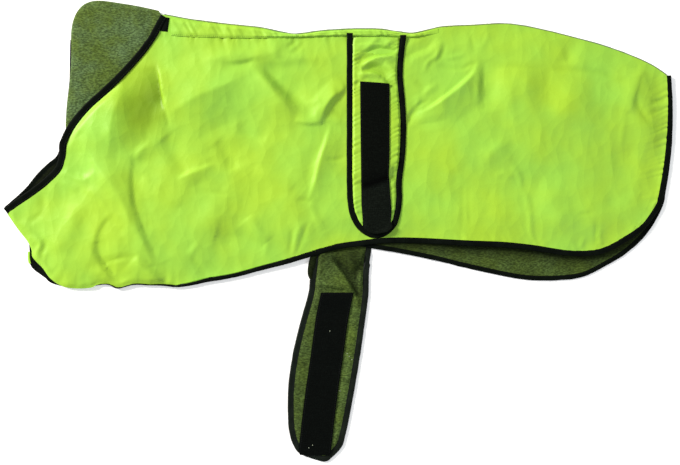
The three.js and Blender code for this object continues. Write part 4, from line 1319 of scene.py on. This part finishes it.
class RAINCOAT_OT_belly_strap(bpy.types.Operator):
    """Lay the strap below the hem, mesh side up, with its edge tape and loop tape"""

    bl_idname = "raincoat.belly_strap"
    bl_label = "Belly Strap"

    def execute(self, context):
        sides = [smooth_line(edge, 3) for edge in strap_edges("belly_strap_shell")]
        shell = lay_sheet("belly_nylon", sides, 5, lambda x, y, u, v: np.full(len(x), size("cloth")))
        finish_piece(shell, "shell_nylon", "nylon", "belly_strap_shell")

        front, rear = strap_edges("belly_strap_lining")
        front = smooth_line(np.vstack([front[0] + (1, 13), front]), 2)
        rear = smooth_line(np.vstack([rear[0] + (4, 13), rear[:1] + (2, 0), rear[1:]]), 2)

        pressed = 1.9  # height of the mesh where the coat lies on it
        sewn = (front, 9, 0.6), (rear, 8, -0.6)  # each side, and its puckers' width and slant

        def mesh_height(x, y, u, v):
            """The mesh puffs up below the hem, most of all just below it."""
            waves = 0.5 * uneven(y, 47) + 0.4 * uneven(y + x, 23, 1)
            waves += sum(puckers(line, x, y, 1.8, wave, 8, slant) for line, wave, slant in sewn)
            relief = 3.2 * ease((y + 125) / 30) + waves + 1.6 * fold_relief(BELLY_FOLDS, x, y)
            puffed = 2.4 + np.maximum(1.2 + relief, 0) * from_sides(v, 80, 5)
            return pressed + (puffed - pressed) * ease((-27 - y) / 12)

        def mesh_shade_and_blotches(x, y):
            """Painted shade under the hem, in the folds and puckers and in the hollow beside the crease,
            with uneven blotches; darker towards the front.
            """
            under_hem = 0.4 + 0.6 * ease((-26 - y) / 42)
            hollow = np.exp(-(((x - 24) / 13) ** 2) - ((y + 46) / 17) ** 2)
            blotch = 0.14 * uneven(y + 0.4 * x, 31) + 0.1 * uneven(y - x, 13, 1)
            dark = 0.24 * np.clip(-fold_relief(BELLY_FOLDS, x, y), 0, 3)
            dark += sum(0.4 * pinches(line, x, y, wave, 8, slant) for line, wave, slant in sewn)
            side = np.clip((x + 22 - 0.12 * (y + 200)) / 35, -1, 1)
            return (0.87 + blotch) * under_hem * (1 - 0.6 * hollow) * (1 - dark) * (1 + 0.2 * side)

        def fold_span(x, y):
            return np.full(len(x), LOWEST), 4.2 + 0.8 * uneven(y, 11)

        fold = lay_tape("mesh_fold", MESH_FOLD, fold_width, fold_span, False, ROLLED_SEAM, 0.5)
        # Painted shade: the bunched fold of mesh is set nearly black.
        set_tone(fold, 0.12)
        finish_piece(fold, "lining_knit", "mesh_lining")

        mesh = lay_sheet("belly_mesh", (front, rear), 2.2, mesh_height, mesh_shade_and_blotches)
        finish_piece(mesh, "lining_knit", "mesh_lining", "belly_strap_lining")

        def span(x, y):
            under_coat = ease((y + 36) / 8)
            return np.full(len(x), 0.05), 3.0 - 2.0 * under_coat

        tape = lay_tape("belly_tape", tape_line("belly_strap_binding"), 8.5, span, True)
        finish_piece(tape, "glossy_tape", "edge_tape", "belly_strap_binding")

        on_mesh = top_of("belly_mesh")
        front, rear = loop_sides()
        front = evenly(np.vstack([front, front[-1] + (3, -5)]), 2)
        rear = evenly(np.vstack([rear, rear[-1] + (-3, -5)]), 2)

        def loop_height(x, y, u, v):
            return settled(on_mesh, x, y, u, v, 4) + 1.5

        loops = lay_sheet("loop_tape_pad", (front, rear), 2.0, loop_height, thick=1.2)
        apply_modifier(loops, "BEVEL", width=0.35 * MM, segments=2, limit_method="ANGLE")
        finish_piece(loops, "loop_pile", "loop_tape", "loop_tape")
        return {"FINISHED"}


# ---- Stitching and small things ----
def moved(line, by):
    """A line moved sideways, to its left where by is above 0."""
    line = smooth_line(line, 4)
    return line + beside(line) * by


class RAINCOAT_OT_stitches(bpy.types.Operator):
    """Sew the tapes, the band and the hook-and-loop tapes down"""

    bl_idname = "raincoat.stitches"
    bl_label = "Stitches"

    def execute(self, context):
        near_hem = tape_line("near_hem_binding")
        far_hem = tape_line("far_hem_binding")
        front, rear = (side[side[:, 1] > 8] for side in strap_edges("hook_tape"))
        hook_row = np.vstack([front[::-1] + (2.2, -2.2), rear + (-2.2, -2.2)])
        front, rear = loop_sides()
        loop_row = np.vstack([front[::-1] + (2.4, -2), rear + (-2.4, -2)])
        band = BAND_STITCHES + ((60, 291), (110, 297))
        rows = (
            # name, line, how far to its left it is sewn, piece under it, slot
            ("near_hem", near_hem[near_hem[:, 0] > -120], 2.7, "near_hem_tape", "edge_tape"),
            ("far_hem", far_hem[far_hem[:, 0] > 105], 2.2, "far_hem_tape", "edge_tape"),
            ("neck", tape_line("near_neck_binding"), -3.4, "near_neck_tape", "edge_tape"),
            ("strap", tape_line("near_strap_binding"), 2.6, "strap_tape", "edge_tape"),
            ("belly", tape_line("belly_strap_binding"), 3.2, "belly_tape", "edge_tape"),
            ("band", band, 1.2, "back_band_cloth", "nylon"),
            ("hook", hook_row, 0, "hook_tape_pad", "hook_tape"),
            ("loop", loop_row, 0, "loop_tape_pad", "loop_tape"),
        )
        for seed, (name, line, by, under, slot) in enumerate(rows):
            line = evenly(line, 4) if by == 0 else moved(line, by)
            row = sew(f"{name}_stitches", line, top_of(under, missed=np.nan), seed)
            finish_piece(row, "olive_thread" if slot == "nylon" else "black_thread", slot)
        return {"FINISHED"}


LINT_SIZE = (2.2, 1.0, 0.7)  # of one bit, in millimetres
LINT = ((-43.5, -325), (14, -184), (17, -188), (21, -193), (-38, -321), (3, -240), (-12, -150))


class RAINCOAT_OT_lint(bpy.types.Operator):
    """Drop a few bits of fluff on the loop tape and beside it"""

    bl_idname = "raincoat.lint"
    bl_label = "Lint"

    def execute(self, context):
        draw = np.random.default_rng(40)
        x, y = np.array(LINT, float).T
        z = top_of("loop_tape_pad", "belly_mesh")(x, y)
        bit = add_shape("bit", "ico_sphere", subdivisions=1, radius=0.5)
        points = np.array([vert.co for vert in bit.data.vertices]) * LINT_SIZE
        set_points(bit, *points.T)
        turns = draw.uniform(0, math.pi, len(x))
        ways = np.column_stack([np.cos(turns), np.sin(turns), 0 * turns])
        bits = copies("lint_bits", bit, frames_along(x, y, z + 0.2, ways))
        finish_piece(bits, "lint", "loop_tape")
        return {"FINISHED"}


class RAINCOAT_OT_cuts(bpy.types.Operator):
    """An empty step, which writes nothing down"""

    bl_idname = "raincoat.cuts"
    bl_label = "Cut Sizes"

    def execute(self, context):
        return {"FINISHED"}


# ---- Stage ----
WHITE = (1, 1, 1)
FRAME_WIDTH = 1.02  # how much of the ground the camera takes in, in metres
COAT_MIDDLE = 0.004  # the height at which it takes in that much
SOFT_LIGHT = 0.34  # light from all round, and the glow that keeps the floor's shadows faint


def area_light(name, place, size, power, colour):
    """A round light that shines on the middle of the coat."""
    data = bpy.data.lights.new(name, "AREA")
    data.shape = "DISK"
    data.size = size
    data.energy = power
    data.color = colour
    lamp = bpy.data.objects.new(name, data)
    lamp.location = place
    lamp.rotation_euler = (-Vector(place)).to_track_quat("-Z", "Y").to_euler()
    bpy.context.scene.collection.objects.link(lamp)


class RAINCOAT_OT_stage(bpy.types.Operator):
    """Add the floor, the lights and the camera that looks straight down"""

    bl_idname = "raincoat.stage"
    bl_label = "Stage"

    def execute(self, context):
        scene = context.scene
        floor = add_shape("floor", "plane", size=12, location=(0, 0, -0.0004))
        bpy.ops.object.transform_apply(location=True, rotation=False, scale=False)
        make = Nodes("floor_white")
        white = make.mix(make.noise(make.place(), 40.0), paint(WHITE, 0.96), paint(WHITE, 0.97))
        glow = {"Emission_Color": paint(WHITE), "Emission_Strength": SOFT_LIGHT}
        floor.data.materials.append(make.surface(white, 0.9, gloss=0.1, **glow))

        world = bpy.data.worlds.new("soft_white")
        scene.world = world
        world.use_nodes = True
        background = world.node_tree.nodes["Background"].inputs
        background["Color"].default_value = paint(WHITE)
        background["Strength"].default_value = SOFT_LIGHT
        area_light("key", (-5.0, 2.9, 2.95), 1.8, 670, (1.0, 0.96, 0.88))
        area_light("fill", (3.4, -2.2, 3.6), 2.4, 60, (0.82, 0.92, 1.0))

        view = bpy.data.cameras.new("overhead")
        camera = bpy.data.objects.new("overhead", view)
        middle = (CAD_BOX[0] + CAD_BOX[1]) / 2
        height = FRAME_WIDTH * view.lens / view.sensor_width + COAT_MIDDLE
        aside = 0.002  # how far the camera stands to the right of and below the coat's middle
        camera.location = (middle.x + aside, middle.y - aside, height)
        scene.collection.objects.link(camera)
        scene.camera = camera
        scene.view_settings.view_transform = "Standard"
        return {"FINISHED"}


class RAINCOAT_PT_panel(bpy.types.Panel):
    """Sizes, colours and the steps of making the coat"""

    bl_idname = "RAINCOAT_PT_panel"
    bl_label = "Raincoat"
    bl_space_type = "VIEW_3D"
    bl_region_type = "UI"
    bl_category = "Raincoat"

    def draw(self, context):
        layout = self.layout
        for group in (context.scene.raincoat_sizes, context.scene.raincoat_colours):
            box = layout.box()
            for key in group.__annotations__:
                box.prop(group, key)
        for step in STEPS:
            layout.operator(step.bl_idname)


STEPS = (
    RAINCOAT_OT_stage,
    RAINCOAT_OT_near_panel,
    RAINCOAT_OT_far_half,
    RAINCOAT_OT_collar,
    RAINCOAT_OT_edge_tapes,
    RAINCOAT_OT_back_seam,
    RAINCOAT_OT_near_strap,
    RAINCOAT_OT_belly_strap,
    RAINCOAT_OT_stitches,
    RAINCOAT_OT_lint,
    RAINCOAT_OT_cuts,
)
CLASSES = (RaincoatSizes, RaincoatColours, *STEPS, RAINCOAT_PT_panel)


def register():
    for cls in CLASSES:
        bpy.utils.register_class(cls)
    bpy.types.Scene.raincoat_sizes = PointerProperty(type=RaincoatSizes)
    bpy.types.Scene.raincoat_colours = PointerProperty(type=RaincoatColours)


def unregister():
    del bpy.types.Scene.raincoat_colours
    del bpy.types.Scene.raincoat_sizes
    for cls in reversed(CLASSES):
        bpy.utils.unregister_class(cls)


def main():
    register()
    for step in STEPS:
        group, name = step.bl_idname.split(".")
        getattr(getattr(bpy.ops, group), name)()
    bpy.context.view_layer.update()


if __name__ == "__main__":
    main()
